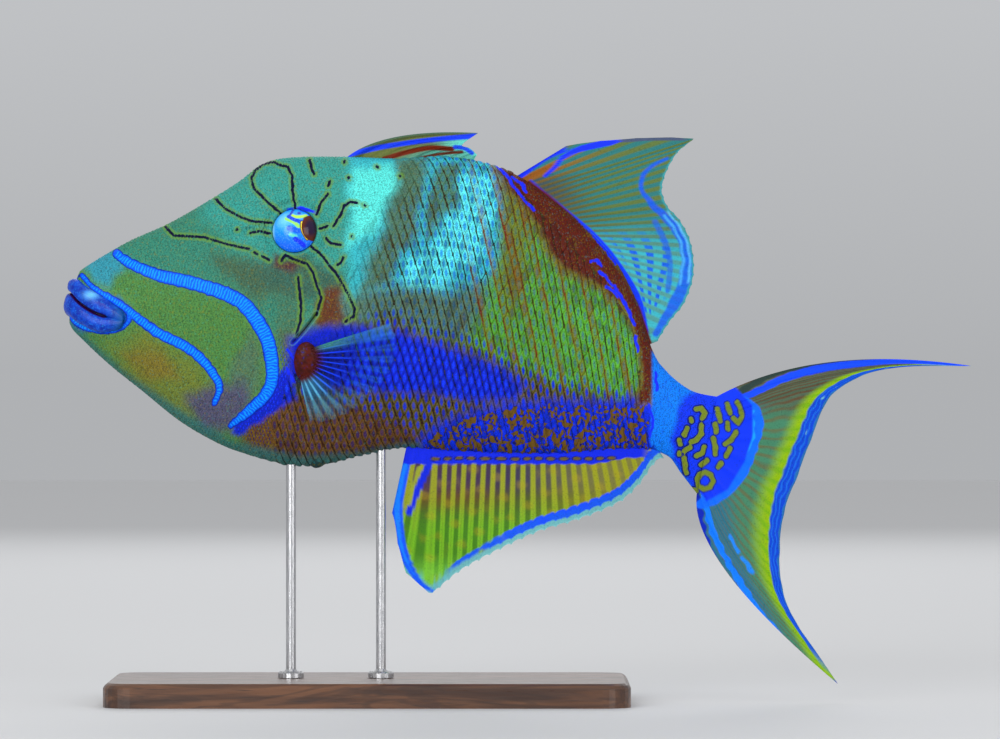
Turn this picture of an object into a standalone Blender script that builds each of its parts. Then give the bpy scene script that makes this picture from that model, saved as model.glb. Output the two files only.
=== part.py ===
# A queen triggerfish at life size, held nose slightly up by two rods on a flat base.
# Metres, +Z up. The head points to -X, the left flank faces -Y, and the floor is at z = 0.

import math

import bmesh
import bpy
from mathutils import Matrix, Vector

MM = 0.001
GAP = 0.3                      # air between pieces that touch, in millimetres
FIN_CLEAR = 0.36               # the same under a fin's root, where the body is faceted

# Pose. Side-view points are (x, z) in millimetres: x back from the lips, z above the floor.
OVERALL_LENGTH = 453.5         # lips to the upper tail streamer
NOSE_UP = math.radians(11.6)   # the body's axis drops towards the tail by this angle
AXIS_START = (-1.5, 201.0)     # just ahead of the lips; distances along the axis count from here

# The body's side view, without fins.
BACK_LINE = [
    (2.5, 211.0), (7.5, 216.0), (17.5, 222.5), (32.5, 231.0), (52.5, 240.0), (72.5, 251.5),
    (87.5, 261.0), (98.0, 269.0), (110.0, 272.3), (137.5, 273.0), (167.5, 272.0), (190.0, 272.8),
    (207.5, 270.5), (226.5, 263.5), (244.0, 251.0), (262.5, 235.5), (276.5, 219.0), (286.5, 199.5),
    (292.5, 180.0), (298.0, 169.0), (312.5, 156.5), (328.5, 152.5),
]
BELLY_LINE = [
    (1.0, 196.0), (2.5, 188.0), (7.5, 182.0), (22.5, 168.0), (37.5, 156.0), (57.5, 140.0),
    (77.5, 128.5), (92.5, 123.0), (107.5, 119.0), (120.0, 118.0), (132.5, 119.0), (147.5, 123.0),
    (170.0, 127.0), (192.5, 125.5), (242.5, 124.0), (287.5, 126.5), (301.5, 122.5),
    (307.5, 114.5), (316.5, 103.0),
]
# Half the body's width against distance along the axis.
HALF_WIDTH = [
    (4.5, 4.4), (9.6, 8.6), (16.0, 11.4), (21.0, 13.0), (27.0, 14.6), (33.5, 16.2), (50.0, 19.6),
    (80.0, 24.0), (105.0, 26.8),
    (128.0, 28.3), (150.0, 28.0), (180.0, 26.0), (210.0, 22.5), (240.0, 17.5), (270.0, 12.0),
    (292.0, 8.6), (308.0, 6.5), (322.0, 4.8), (334.0, 3.5),
]
WIDEST_AT = 0.52               # height of the widest level, as a share of the section
BACK_ROUNDNESS = 2.1           # superellipse power above the widest level
BELLY_ROUNDNESS = 1.75         # below it: a lower power gives the keeled belly
RING_POINTS = 28
NOSE_RINGS = ((1.7, 0.45), (0.9, 0.8))   # how far ahead of the snout's start, and how wide, rounding it
NOSE_CROWDING = 1.35           # power that draws the head's rings towards the snout

# Where the body is parted, along the axis.
SNOUT_START = 6.4
HEAD_END = 123.0
TRUNK_END = 301.0
TAIL_BASE = 331.0

# Mouth: the line between the lips, (along axis, sideways, above axis), left half from the front.
MOUTH_LINE = [
    (3.2, 0.0, 4.6), (5.4, 5.8, 3.4), (9.6, 9.4, 0.4), (16.0, 12.0, -2.3), (21.0, 13.4, -3.4),
    (27.0, 14.8, -3.9), (33.0, 16.2, -4.2),
]
LIP_HALF_HEIGHTS = {1: (3.5, 4.9), -1: (6.0, 4.6)}   # upper and lower lip: in front, at the side
LIP_HALF_DEPTH = 4.2
LIP_STEPS = 20
LIP_SIDES = 10
LIP_PARTING = 0.2              # half the gap along the mouth

# Eyes, set high and far back.
EYE_AT = (115.5, 235.2)
EYE_RADIUS = 11.8              # across the face
EYE_HALF_DEPTH = 8.0           # in and out of the head
EYE_SUNK = 2.5                 # centre of the ball under the cheek's surface
EYE_SEGMENTS = 20
EYE_RINGS = 12
RIM_TUBE = 1.5                 # thickness of the rim round the eye
NOSTRILS = [(87.0, 236.0), (92.6, 236.6)]
NOSTRIL_RADIUS = 0.9
NOSTRIL_RIM_RADIUS = 1.9
NOSTRIL_RAISED = 0.6
NOSTRIL_DEPTH = 2.0
NOSTRIL_SIDES = 12

# Gill opening: a short slanting slit ahead of the pectoral fin.
GILL_TOP = (126.5, 194.0)
GILL_BOTTOM = (114.5, 179.5)
GILL_WIDTH = 1.3
GILL_DEPTH = 3.0
GILL_STEPS = 8

# Bony plates behind the gill opening, larger than the scales round them.
PLATE_CENTRES = [
    (130.5, 204.0), (136.2, 206.0), (141.4, 203.2), (131.6, 197.8), (137.4, 199.6), (142.2, 196.6),
    (134.2, 191.8), (139.6, 192.6),
]
PLATE_LENGTH = 5.2
PLATE_HEIGHT = 5.6
PLATE_RAISED = 0.7

# Pelvic spine: a blunt rough knob at the end of the belly's keel.
PELVIC_AT = (126.0, 118.6)
PELVIC_SIZE = (5.5, 2.4, 2.0)

# First dorsal fin, folded back: roots along the back, tips from the long spine to the rear web,
# and how strong the fin is along its root, from bare web (low) to the locking spine (1).
FIRST_DORSAL_ROOTS = (141.0, 204.5)
FIRST_DORSAL_TIPS = [(206.5, 284.5), (198.5, 278.4), (202.5, 276.8), (206.0, 273.6)]
FIRST_DORSAL_STRENGTH = [
    (0.0, 0.55), (0.035, 1.0), (0.1, 0.25), (0.3, 0.2), (0.44, 0.25), (0.5, 0.6), (0.56, 0.25),
    (0.72, 0.2), (0.8, 0.4), (0.9, 0.2), (1.0, 0.2),
]
FIRST_DORSAL_ARCH = 8.6        # how far the long spine bows up

# Second dorsal fin: leading tips run up to the peak, trailing tips from the peak to the tail.
SECOND_DORSAL_ROOTS = (226.0, 292.4)
SECOND_DORSAL_LEAD = [(250.5, 278.0), (257.5, 279.5), (277.5, 281.5), (297.5, 282.5), (315.0, 282.0)]
SECOND_DORSAL_TRAIL = [
    (315.0, 282.0), (305.5, 273.5), (298.8, 258.0), (301.0, 248.5), (307.5, 241.0), (313.0, 230.0),
    (314.6, 214.0), (310.0, 199.5), (303.0, 190.5), (296.5, 180.5),
]
SECOND_DORSAL_RAYS = 29
SECOND_DORSAL_LEAD_SHARE = 0.13    # share of the root that carries the leading tips
SECOND_DORSAL_WAVE = 3.0           # sideways wave at the edge

# Anal fin, in the same way.
ANAL_ROOTS = (170.6, 297.0)
ANAL_LEAD = [(163.5, 94.5), (169.5, 66.5), (176.5, 58.0), (183.5, 53.5)]
ANAL_TRAIL = [
    (183.5, 53.5), (197.5, 65.0), (217.5, 76.0), (237.5, 85.0), (257.5, 91.0), (277.5, 99.5),
    (287.5, 108.5), (295.0, 119.0), (299.5, 121.8),
]
ANAL_RAYS = 27
ANAL_LEAD_SHARE = 0.12
ANAL_WAVE = 2.5

# Tail fin: tips round each lobe from its streamer to the middle of the trailing edge.
TAIL_UPPER_TIPS = [
    (453.5, 168.0), (421.0, 167.6), (402.5, 164.5), (390.0, 158.5), (381.5, 151.0), (375.0, 136.0),
    (366.2, 112.6),
]
TAIL_LOWER_TIPS = [
    (386.5, 9.0), (375.0, 26.0), (365.0, 41.0), (359.0, 56.0), (357.5, 76.0), (360.0, 96.0),
    (365.8, 111.6),
]
TAIL_UPPER_BEND = (375.0, 179.5)   # pulls the leading ray of the upper lobe into its arch
TAIL_LOWER_BEND = (311.5, 72.0)
TAIL_RAYS_PER_LOBE = 6

# Pectoral fins: a fleshy lobe with a fan of rays.
PECTORAL_AT = (121.5, 170.0)
PECTORAL_LOBE = (6.2, 10.0)
PECTORAL_LOBE_THICK = 3.6
PECTORAL_ROOTS = [(124.5, 177.0), (126.0, 170.0), (122.6, 163.5), (118.5, 161.5)]
PECTORAL_TIPS = [
    (164.0, 189.5), (166.5, 181.0), (165.0, 170.0), (159.5, 160.0), (150.0, 150.5), (140.0, 143.5),
    (130.0, 140.2), (123.0, 140.8),
]
PECTORAL_RAYS = 13

# Stand: a flat board and two rods that end in sockets in the belly.
BASE_CENTRE_X = 152.0
BASE_SIZE = (260.0, 120.0, 12.0)
BASE_CORNER = 14.0
BASE_CHAMFER = 2.5
ROD_RADIUS = 2.5
ROD_X = {"stand_rod_front": 113.0, "stand_rod_rear": 158.0}
ROD_SUNK_IN_BODY = 9.0
ROD_SUNK_IN_BASE = 7.5
COLLAR_RADIUS = 6.5
COLLAR_HEIGHT = 3.5
ROD_SIDES = 20

# Base colour, roughness and metallic value of each finish.
FINISHES = {
    "skin_head": ((0.36, 0.62, 0.36), 0.45, 0.0),
    "skin_trunk": ((0.16, 0.50, 0.66), 0.45, 0.0),
    "skin_tail": ((0.05, 0.36, 0.85), 0.42, 0.0),
    "lips": ((0.03, 0.20, 0.85), 0.30, 0.0),
    "eye": ((0.10, 0.55, 0.95), 0.08, 0.0),
    "fin_blue": ((0.30, 0.72, 0.72), 0.40, 0.0),
    "fin_yellow": ((0.62, 0.78, 0.10), 0.40, 0.0),
    "fin_tail": ((0.25, 0.66, 0.62), 0.40, 0.0),
    "fin_clear": ((0.12, 0.22, 0.75), 0.35, 0.0),
    "walnut": ((0.14, 0.07, 0.035), 0.45, 0.0),
    "steel": ((0.62, 0.62, 0.64), 0.25, 1.0),
}


# Curves through a few points

def curve_value(points, at):
    """Smooth height of a curve through (position, value) points."""
    last = len(points) - 1
    i = 0
    while i < last - 1 and at > points[i + 1][0]:
        i += 1

    def slope(k):
        before = points[max(k - 1, 0)]
        after = points[min(k + 1, last)]
        return (after[1] - before[1]) / (after[0] - before[0])

    (x0, y0), (x1, y1) = points[i], points[i + 1]
    span = x1 - x0
    t = min(max((at - x0) / span, 0.0), 1.0)
    ease = t * t * (3 - 2 * t)
    start_pull = t * (1 - t) ** 2 * span * slope(i)
    end_pull = t * t * (t - 1) * span * slope(i + 1)
    return y0 + (y1 - y0) * ease + start_pull + end_pull


def curve_point(points, share):
    """Point at a share of the length of a smooth curve through points of any dimension."""
    reach = [0.0]
    for a, b in zip(points, points[1:]):
        reach.append(reach[-1] + math.dist(a, b))
    at = share * reach[-1]
    return [curve_value(list(zip(reach, axis)), at) for axis in zip(*points)]


def bend(start, pull, end, t):
    """Quadratic arc from start to end, drawn towards pull."""
    return [a * (1 - t) ** 2 + 2 * p * t * (1 - t) + b * t * t for a, p, b in zip(start, pull, end)]


def blend(a, b, t):
    return [p + (q - p) * t for p, q in zip(a, b)]


# The body's own frame: s along the axis, y sideways (left is negative), h above the axis

COS_UP = math.cos(NOSE_UP)
SIN_UP = math.sin(NOSE_UP)


def to_body(x, z):
    dx = x - AXIS_START[0]
    dz = z - AXIS_START[1]
    return dx * COS_UP - dz * SIN_UP, dx * SIN_UP + dz * COS_UP


def side_view(s, h):
    return AXIS_START[0] + s * COS_UP + h * SIN_UP, AXIS_START[1] - s * SIN_UP + h * COS_UP


def place(x, y, z):
    """Side-view point and sideways distance to a world point in metres."""
    return Vector(((x - OVERALL_LENGTH / 2) * MM, y * MM, z * MM))


def from_body(s, y, h):
    x, z = side_view(s, h)
    return place(x, y, z)


TOP_CURVE = [to_body(*point) for point in BACK_LINE]
BOTTOM_CURVE = [to_body(*point) for point in BELLY_LINE]


def section(s):
    top = curve_value(TOP_CURVE, s)
    bottom = curve_value(BOTTOM_CURVE, s)
    widest = bottom + (top - bottom) * WIDEST_AT
    return top, bottom, widest, curve_value(HALF_WIDTH, s)


def skin_point(s, angle, swell=1.0):
    """Point of the body's surface; the angle runs from the back over the left flank."""
    top, bottom, widest, half = section(s)
    above = math.cos(angle) >= 0
    power = 2 / (BACK_ROUNDNESS if above else BELLY_ROUNDNESS)
    rise = (top if above else bottom) - widest
    h = widest + swell * rise * abs(math.cos(angle)) ** power
    y = -swell * math.copysign(half * abs(math.sin(angle)) ** power, math.sin(angle))
    return from_body(s, y, h)


def flank(s, h):
    """Half the body's width at a height."""
    top, bottom, widest, half = section(s)
    above = h >= widest
    power = BACK_ROUNDNESS if above else BELLY_ROUNDNESS
    share = min(abs((h - widest) / ((top if above else bottom) - widest)), 0.999)
    return half * (1 - share ** power) ** (1 / power)


def flank_at(x, z):
    return flank(*to_body(x, z))


def flank_normal(x, z):
    """Outward normal of the left flank at a side-view point."""
    step = 1.0
    slope_x = (flank_at(x + step, z) - flank_at(x - step, z)) / (2 * step)
    slope_z = (flank_at(x, z + step) - flank_at(x, z - step)) / (2 * step)
    return Vector((-slope_x, -1.0, -slope_z)).normalized()


# Meshes and objects

UPRIGHT = (Vector((1, 0, 0)), Vector((0, 1, 0)), Vector((0, 0, 1)))


def finish(name):
    colour, roughness, metallic = FINISHES[name]
    material = bpy.data.materials.get(name)
    if material:
        return material
    material = bpy.data.materials.new(name)
    material.use_nodes = True
    shader = material.node_tree.nodes["Principled BSDF"]
    shader.inputs["Base Color"].default_value = (*colour, 1.0)
    shader.inputs["Roughness"].default_value = roughness
    shader.inputs["Metallic"].default_value = metallic
    return material


def solid(name, points, faces, material):
    """Object from world points and faces, with its faces turned outwards."""
    shape = bmesh.new()
    corners = [shape.verts.new(point) for point in points]
    for face in faces:
        shape.faces.new([corners[i] for i in face])
    bmesh.ops.recalc_face_normals(shape, faces=shape.faces)
    mesh = bpy.data.meshes.new(name)
    shape.to_mesh(mesh)
    shape.free()
    mesh.shade_smooth()
    mesh.materials.append(finish(material))
    piece = bpy.data.objects.new(name, mesh)
    bpy.context.scene.collection.objects.link(piece)
    return piece


def tube_faces(rings, around):
    """Quads between rings of points laid one after another, with both ends closed."""
    faces = []
    for r in range(rings - 1):
        for k in range(around):
            a = r * around + k
            b = r * around + (k + 1) % around
            faces.append((a, b, b + around, a + around))
    faces.append(tuple(range(around)))
    faces.append(tuple((rings - 1) * around + k for k in range(around)))
    return faces


def keep_largest(piece):
    """Drop loose scraps and sealed hollows, keeping the closed surface with most faces."""
    shape = bmesh.new()
    shape.from_mesh(piece.data)
    unseen = set(shape.faces)
    groups = []
    while unseen:
        first = unseen.pop()
        group = [first]
        for face in group:
            for edge in face.edges:
                for other in edge.link_faces:
                    if other in unseen:
                        unseen.remove(other)
                        group.append(other)
        groups.append(group)
    groups.sort(key=len)
    for group in groups[:-1]:
        bmesh.ops.delete(shape, geom=group, context="FACES")
    shape.to_mesh(piece.data)
    shape.free()


def combine(piece, tools, operation):
    """Join or cut a piece with other closed solids, and remove those."""
    group = bpy.data.collections.new("tools")
    for tool in tools:
        group.objects.link(tool)
    step = piece.modifiers.new(operation.lower(), "BOOLEAN")
    step.operation = operation
    step.operand_type = "COLLECTION"
    step.collection = group
    step.solver = "MANIFOLD"   # the exact solver leaves edges shared by three faces at the mouth
    bpy.context.view_layer.update()
    seen = piece.evaluated_get(bpy.context.evaluated_depsgraph_get())
    result = bpy.data.meshes.new_from_object(seen)
    piece.modifiers.clear()
    piece.data = result
    for tool in tools:
        bpy.data.objects.remove(tool)
    bpy.data.collections.remove(group)
    keep_largest(piece)


# Body

def body_length(name, start, end, count, material, round_nose=False):
    """One length of the body between two planes across its axis."""
    points = []
    rings = count + 1
    if round_nose:
        level = section(start)[2]
        centre = from_body(start, 0.0, level)
        for back, swell in NOSE_RINGS:
            ahead = from_body(start - back, 0.0, level) - centre
            for k in range(RING_POINTS):
                skin = skin_point(start, 2 * math.pi * k / RING_POINTS)
                points.append(centre + (skin - centre) * swell + ahead)
            rings += 1
    for i in range(count + 1):
        t = i / count
        if round_nose:
            t = t ** NOSE_CROWDING
        s = start + (end - start) * t
        points += [skin_point(s, 2 * math.pi * k / RING_POINTS) for k in range(RING_POINTS)]
    return solid(name, points, tube_faces(rings, RING_POINTS), material)


def ellipsoid(name, centre, axes, radii, segments, rings, material):
    """Ellipsoid whose poles lie on the third of its axes."""
    shape = bmesh.new()
    bmesh.ops.create_uvsphere(shape, u_segments=segments, v_segments=rings, radius=1.0)
    turn = Matrix.Identity(4)
    for column, (axis, radius) in enumerate(zip(axes, radii)):
        for row in range(3):
            turn[row][column] = axis[row] * radius * MM
        turn[column][3] = centre[column]
    shape.transform(turn)
    mesh = bpy.data.meshes.new(name)
    bmesh.ops.recalc_face_normals(shape, faces=shape.faces)
    shape.to_mesh(mesh)
    shape.free()
    mesh.shade_smooth()
    mesh.materials.append(finish(material))
    piece = bpy.data.objects.new(name, mesh)
    bpy.context.scene.collection.objects.link(piece)
    return piece


def face_axes(x, z, side):
    """Two axes along the flank and the outward one, on the left (-1) or right (1) side."""
    outward = flank_normal(x, z)
    outward.y *= -side
    back = Vector((1.0, 0.0, 0.0))
    back = (back - outward * back.dot(outward)).normalized()
    return back, outward.cross(back), outward


def on_flank(x, z, side, out=0.0):
    point = place(x, side * flank_at(x, z), z)
    return point + face_axes(x, z, side)[2] * out * MM


def eye(name, side, extra=0.0):
    axes = face_axes(*EYE_AT, side)
    centre = on_flank(*EYE_AT, side, -EYE_SUNK)
    radii = (EYE_RADIUS + extra, EYE_RADIUS + extra, EYE_HALF_DEPTH + extra)
    return ellipsoid(name, centre, axes, radii, EYE_SEGMENTS, EYE_RINGS, "eye")


def ring(name, centre, axes, radius, tube, around, sides):
    """Closed round rim lying on the flank."""
    points = []
    for i in range(around):
        turn = 2 * math.pi * i / around
        spoke = axes[0] * math.cos(turn) + axes[1] * math.sin(turn)
        for k in range(sides):
            tilt = 2 * math.pi * k / sides
            out = spoke * (radius + tube * math.cos(tilt)) + axes[2] * tube * math.sin(tilt)
            points.append(centre + out * MM)
    faces = []
    for i in range(around):
        for k in range(sides):
            a = i * sides + k
            b = i * sides + (k + 1) % sides
            c = (i + 1) % around * sides
            faces.append((a, b, c + (k + 1) % sides, c + k))
    return solid(name, points, faces, "skin_head")


def peg(name, foot, axes, radius, low, high, sides, material):
    """Short round peg along the third axis, from low to high."""
    points = []
    for level in (low, high):
        for k in range(sides):
            turn = 2 * math.pi * k / sides
            spoke = axes[0] * math.cos(turn) + axes[1] * math.sin(turn)
            points.append(foot + (spoke * radius + axes[2] * level) * MM)
    return solid(name, points, tube_faces(2, sides), material)


def lip(name, up, extra=0.0):
    """Fleshy lip along the mouth: up is 1 for the upper lip and -1 for the lower."""
    right_half = [(s, -y, h) for s, y, h in MOUTH_LINE[:0:-1]]
    line = right_half + MOUTH_LINE
    points = []
    for i in range(LIP_STEPS + 1):
        share = i / LIP_STEPS
        before = Vector(curve_point(line, max(share - 0.01, 0.0)))
        after = Vector(curve_point(line, min(share + 0.01, 1.0)))
        ahead = (after - before).normalized()
        centre = Vector(curve_point(line, share))
        outward = Vector((-ahead.y, ahead.x, 0.0)).normalized()
        lift = Vector((0.0, 0.0, 1.0))
        fullness = max(1 - abs(2 * share - 1) ** 4, 0.0) ** 0.5 * 0.72 + 0.28
        in_front, at_side = LIP_HALF_HEIGHTS[up]
        high = (in_front + (at_side - in_front) * min(abs(2 * share - 1) * 2.2, 1.0)) * fullness
        deep = LIP_HALF_DEPTH * (0.45 + 0.55 * fullness)
        middle = centre + lift * up * (high + LIP_PARTING) - outward * (deep * 0.55)
        for k in range(LIP_SIDES):
            turn = 2 * math.pi * k / LIP_SIDES
            off = lift * math.sin(turn) * (high + extra) + outward * math.cos(turn) * (deep + extra)
            end = extra * (share - 0.5) * 2 if share in (0.0, 1.0) else 0.0
            points.append(from_body(*(middle + off + ahead * end)))
    return solid(name, points, tube_faces(LIP_STEPS + 1, LIP_SIDES), "lips")


def gill_slit(side):
    """Cutter for the gill opening."""
    points = []
    for i in range(GILL_STEPS + 1):
        t = i / GILL_STEPS
        x, z = blend(GILL_TOP, GILL_BOTTOM, t)
        along = Vector((GILL_BOTTOM[0] - GILL_TOP[0], 0, GILL_BOTTOM[1] - GILL_TOP[1])).normalized()
        across = Vector((along.z, 0, -along.x)) * GILL_WIDTH * (0.25 + 0.75 * math.sin(math.pi * t))
        outward = face_axes(x, z, side)[2]
        skin = on_flank(x, z, side)
        deep = GILL_DEPTH * (0.4 + 0.6 * math.sin(math.pi * t))
        for off in (across / 2 + outward * 2, -across / 2 + outward * 2, -outward * deep):
            points.append(skin + off * MM)
    return solid("slit", points, tube_faces(GILL_STEPS + 1, 3), "skin_trunk")


def plate(x, z, side):
    """One bony plate, its edge sunk into the flank."""
    corners = 8
    points = []
    for size, out in ((1.0, -1.2), (1.0, 0.15), (0.72, PLATE_RAISED)):
        for k in range(corners):
            turn = 2 * math.pi * (k + 0.5) / corners
            px = x + PLATE_LENGTH / 2 * size * math.cos(turn)
            pz = z + PLATE_HEIGHT / 2 * size * math.sin(turn)
            points.append(on_flank(px, pz, side, out))
    return solid("plate", points, tube_faces(3, corners), "skin_trunk")


def rod_socket(x):
    """Cutter for the hole that takes a rod's end in the belly."""
    belly = curve_value(BELLY_LINE, x)
    top = ROD_SUNK_IN_BODY + GAP
    return peg("socket", place(x, 0, belly), UPRIGHT, ROD_RADIUS + GAP, -6.0, top, ROD_SIDES, "skin_trunk")


def make_body():
    head = body_length("head", SNOUT_START, HEAD_END - GAP / 2, 18, "skin_head", round_nose=True)
    trunk = body_length("trunk", HEAD_END + GAP / 2, TRUNK_END - GAP / 2, 25, "skin_trunk")
    body_length("tail_peduncle", TRUNK_END + GAP / 2, TAIL_BASE - GAP / 2, 6, "skin_tail")

    raised = []
    for side in (-1, 1):
        axes = face_axes(*EYE_AT, side)
        middle = on_flank(*EYE_AT, side, -0.4)
        raised.append(ring("rim", middle, axes, EYE_RADIUS + 0.4, RIM_TUBE, EYE_SEGMENTS, 6))
        for x, z in NOSTRILS:
            foot = on_flank(x, z, side)
            raised.append(peg("rim", foot, face_axes(x, z, side), NOSTRIL_RIM_RADIUS, -NOSTRIL_DEPTH,
                              NOSTRIL_RAISED, NOSTRIL_SIDES, "skin_head"))
    combine(head, raised, "UNION")
    cuts = [lip("cut", 1, GAP), lip("cut", -1, GAP)]
    for side in (-1, 1):
        cuts.append(eye("cut", side, GAP))
        cuts.append(gill_slit(side))
        for x, z in NOSTRILS:
            foot = on_flank(x, z, side)
            cuts.append(peg("cut", foot, face_axes(x, z, side), NOSTRIL_RADIUS, -NOSTRIL_DEPTH,
                            NOSTRIL_DEPTH, NOSTRIL_SIDES, "skin_head"))
    for cut in cuts:
        combine(head, [cut], "DIFFERENCE")

    raised = [plate(x, z, side) for x, z in PLATE_CENTRES for side in (-1, 1)]
    pelvic = place(PELVIC_AT[0], 0, PELVIC_AT[1])
    raised.append(ellipsoid("pelvic", pelvic, UPRIGHT, PELVIC_SIZE, 14, 10, "skin_trunk"))
    for piece in raised:
        combine(trunk, [piece], "UNION")
    for side in (-1, 1):
        combine(trunk, [gill_slit(side)], "DIFFERENCE")
    for x in ROD_X.values():
        combine(trunk, [rod_socket(x)], "DIFFERENCE")

    lip("upper_lip", 1)
    lip("lower_lip", -1)
    eye("eye_left", -1)
    eye("eye_right", 1)


# Fins

def fin_sheet(name, columns, rows, spot, half_thickness, material):
    """Thin fin with its rays raised in its own surface, split into triangles alike on both faces.

    columns holds (share along the root, what that column is: a ray or not, or its strength), and
    spot gives the middle surface.
    """
    points = []
    for side in (-1, 1):
        for u, is_ray in columns:
            for j in range(rows + 1):
                v = j / rows
                x, y, z = spot(u, v)
                points.append(place(x, y + side * half_thickness(u, v, is_ray), z))
    width = rows + 1
    layer = len(columns) * width
    faces = []
    for i in range(len(columns) - 1):
        for j in range(rows):
            a, b, c, d = i * width + j, (i + 1) * width + j, (i + 1) * width + j + 1, i * width + j + 1
            for low in (0, layer):
                faces.append((a + low, b + low, c + low))
                faces.append((a + low, c + low, d + low))
    border = [i * width for i in range(len(columns))]
    border += [(len(columns) - 1) * width + j for j in range(1, width)]
    border += [i * width + rows for i in range(len(columns) - 2, -1, -1)]
    border += [j for j in range(rows - 1, 0, -1)]
    for a, b in zip(border, border[1:] + border[:1]):
        faces.append((a, b, b + layer))
        faces.append((a, b + layer, a + layer))
    return solid(name, points, faces, material)


def ray_columns(count):
    """Rays at even shares with a strip of web between each two."""
    steps = 2 * count - 2
    return [(i / steps, i % 2 == 0) for i in range(steps + 1)]


def root_on(line, x, clear):
    """Point just off the back or the belly, square to its slope."""
    s = to_body(x, curve_value(line, x))[0]
    above = line is BACK_LINE
    curve = TOP_CURVE if above else BOTTOM_CURVE
    slope = curve_value(curve, s + 0.5) - curve_value(curve, s - 0.5)
    off = clear * math.sqrt(1 + slope * slope)
    return side_view(s, curve_value(curve, s) + (off if above else -off))


def soft_fin(name, line, roots, lead, trail, rays, lead_share, wave, material):
    """Long fin on the back or the belly, whose rays are joined by a web."""
    def spot(u, v):
        root = root_on(line, roots[0] + (roots[1] - roots[0]) * u, FIN_CLEAR)
        if u < lead_share:
            tip = curve_point(lead, u / lead_share)
        else:
            tip = curve_point(trail, (u - lead_share) / (1 - lead_share))
        x, z = blend(root, tip, v)
        return x, wave * v * v * math.sin(2 * math.pi * (1.4 * u + 0.1)), z

    def half_thickness(u, v, is_ray):
        root_half = 1.25 - 0.55 * u
        edge_half = 0.34 if is_ray else 0.26
        web = root_half * (1 - v) ** 3 + edge_half * (1 - (1 - v) ** 3)
        return web + (0.30 * (1 - v) * min(v * 8, 1.0) if is_ray else 0.0)

    return fin_sheet(name, ray_columns(rays), 5, spot, half_thickness, material)


def make_first_dorsal():
    def spot(u, v):
        first, last = FIRST_DORSAL_ROOTS
        root = root_on(BACK_LINE, first + (last - first) * u, FIN_CLEAR)
        tip = curve_point(FIRST_DORSAL_TIPS, min(u * 1.2, 1.0) if u < 0.5 else 0.6 + (u - 0.5) * 0.8)
        pull = (blend(root, tip, 0.28)[0], blend(root, tip, 0.5)[1] + FIRST_DORSAL_ARCH * (1 - u) ** 1.6)
        x, z = bend(root, pull, tip, v)
        return x, 0.0, z

    def half_thickness(u, v, strength):
        return 0.26 + strength * (2.3 * (1 - v) ** 0.8 + 0.35)

    fin_sheet("first_dorsal_fin", FIRST_DORSAL_STRENGTH, 9, spot, half_thickness, "fin_blue")


def make_tail():
    lobes = {
        "caudal_fin_upper": (TAIL_UPPER_TIPS, TAIL_UPPER_BEND, 1),
        "caudal_fin_lower": (TAIL_LOWER_TIPS, TAIL_LOWER_BEND, -1),
    }
    s = TAIL_BASE + GAP / 2
    top, bottom, _, half = section(TAIL_BASE)
    middle = (top + bottom) / 2
    for name, (tips, pull, up) in lobes.items():
        outer = (top if up > 0 else bottom) - up * 0.4
        inner = middle + up * GAP / 2

        def spot(u, v):
            h = outer + (inner - outer) * u
            root = side_view(s, h)
            tip = curve_point(tips, u)
            straight = blend(root, tip, 0.5)
            x, z = bend(root, blend(pull, straight, min(u * 1.25, 1.0) ** 0.7), tip, v)
            return x, 0.0, z

        def half_thickness(u, v, is_ray):
            root_half = half * (0.35 + 0.65 * min(u * 3, 1.0)) - 0.2
            web = root_half * (1 - v) ** 2.5 + 0.27 * (1 - (1 - v) ** 2.5)
            return web + (0.38 * (1 - v * 0.7) * min(v * 6, 1.0) if is_ray else 0.0)

        columns = []
        for i in range(TAIL_RAYS_PER_LOBE * 3):
            columns.append((i / (TAIL_RAYS_PER_LOBE * 3), i % 3 == 0))
        columns.append((1.0, False))
        fin_sheet(name, columns, 10, spot, half_thickness, "fin_tail")


def make_pectoral(name, side):
    """Fan of rays rooted in a fleshy lobe; side is -1 on the left."""
    around = 18
    points = []
    levels = [(1.0, GAP), (0.55, GAP), (0.0, GAP)]
    levels += [(share, GAP + 0.5 + PECTORAL_LOBE_THICK * (1 - share * share) ** 0.5)
               for share in (0.0, 0.4, 0.75, 0.95, 1.0)]
    rings = []
    for share, out in levels:
        start = len(points)
        count = around if share else 1
        for k in range(count):
            turn = 2 * math.pi * k / around
            x = PECTORAL_AT[0] + PECTORAL_LOBE[0] * share * math.cos(turn)
            z = PECTORAL_AT[1] + PECTORAL_LOBE[1] * share * math.sin(turn)
            points.append(place(x, side * (flank_at(x, z) + out), z))
        rings.append((start, count))
    faces = []
    for (a, na), (b, nb) in zip(rings, rings[1:] + rings[:1]):
        if na == nb == 1:          # from the middle of the underside to the middle of the top
            continue
        for k in range(around):
            m = (k + 1) % around
            if nb == 1:
                faces.append((a + k, a + m, b))
            elif na == 1:
                faces.append((a, b + k, b + m))
            else:
                faces.append((a + k, a + m, b + m, b + k))
    lobe = solid(name, points, faces, "fin_clear")

    def spot(u, v):
        root = curve_point(PECTORAL_ROOTS, u)
        tip = curve_point(PECTORAL_TIPS, u)
        x, z = blend(root, tip, v)
        out = 2.1 + 6.5 * v - 2.0 * v * v
        return x, side * (flank_at(x, z) + out), z

    def half_thickness(u, v, is_ray):
        return 0.27 + 0.5 * (1 - v) ** 2 + (0.28 * (1 - v) if is_ray else 0.0)

    fan = fin_sheet("fan", ray_columns(PECTORAL_RAYS), 5, spot, half_thickness, "fin_clear")
    combine(lobe, [fan], "UNION")


# Stand

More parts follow.
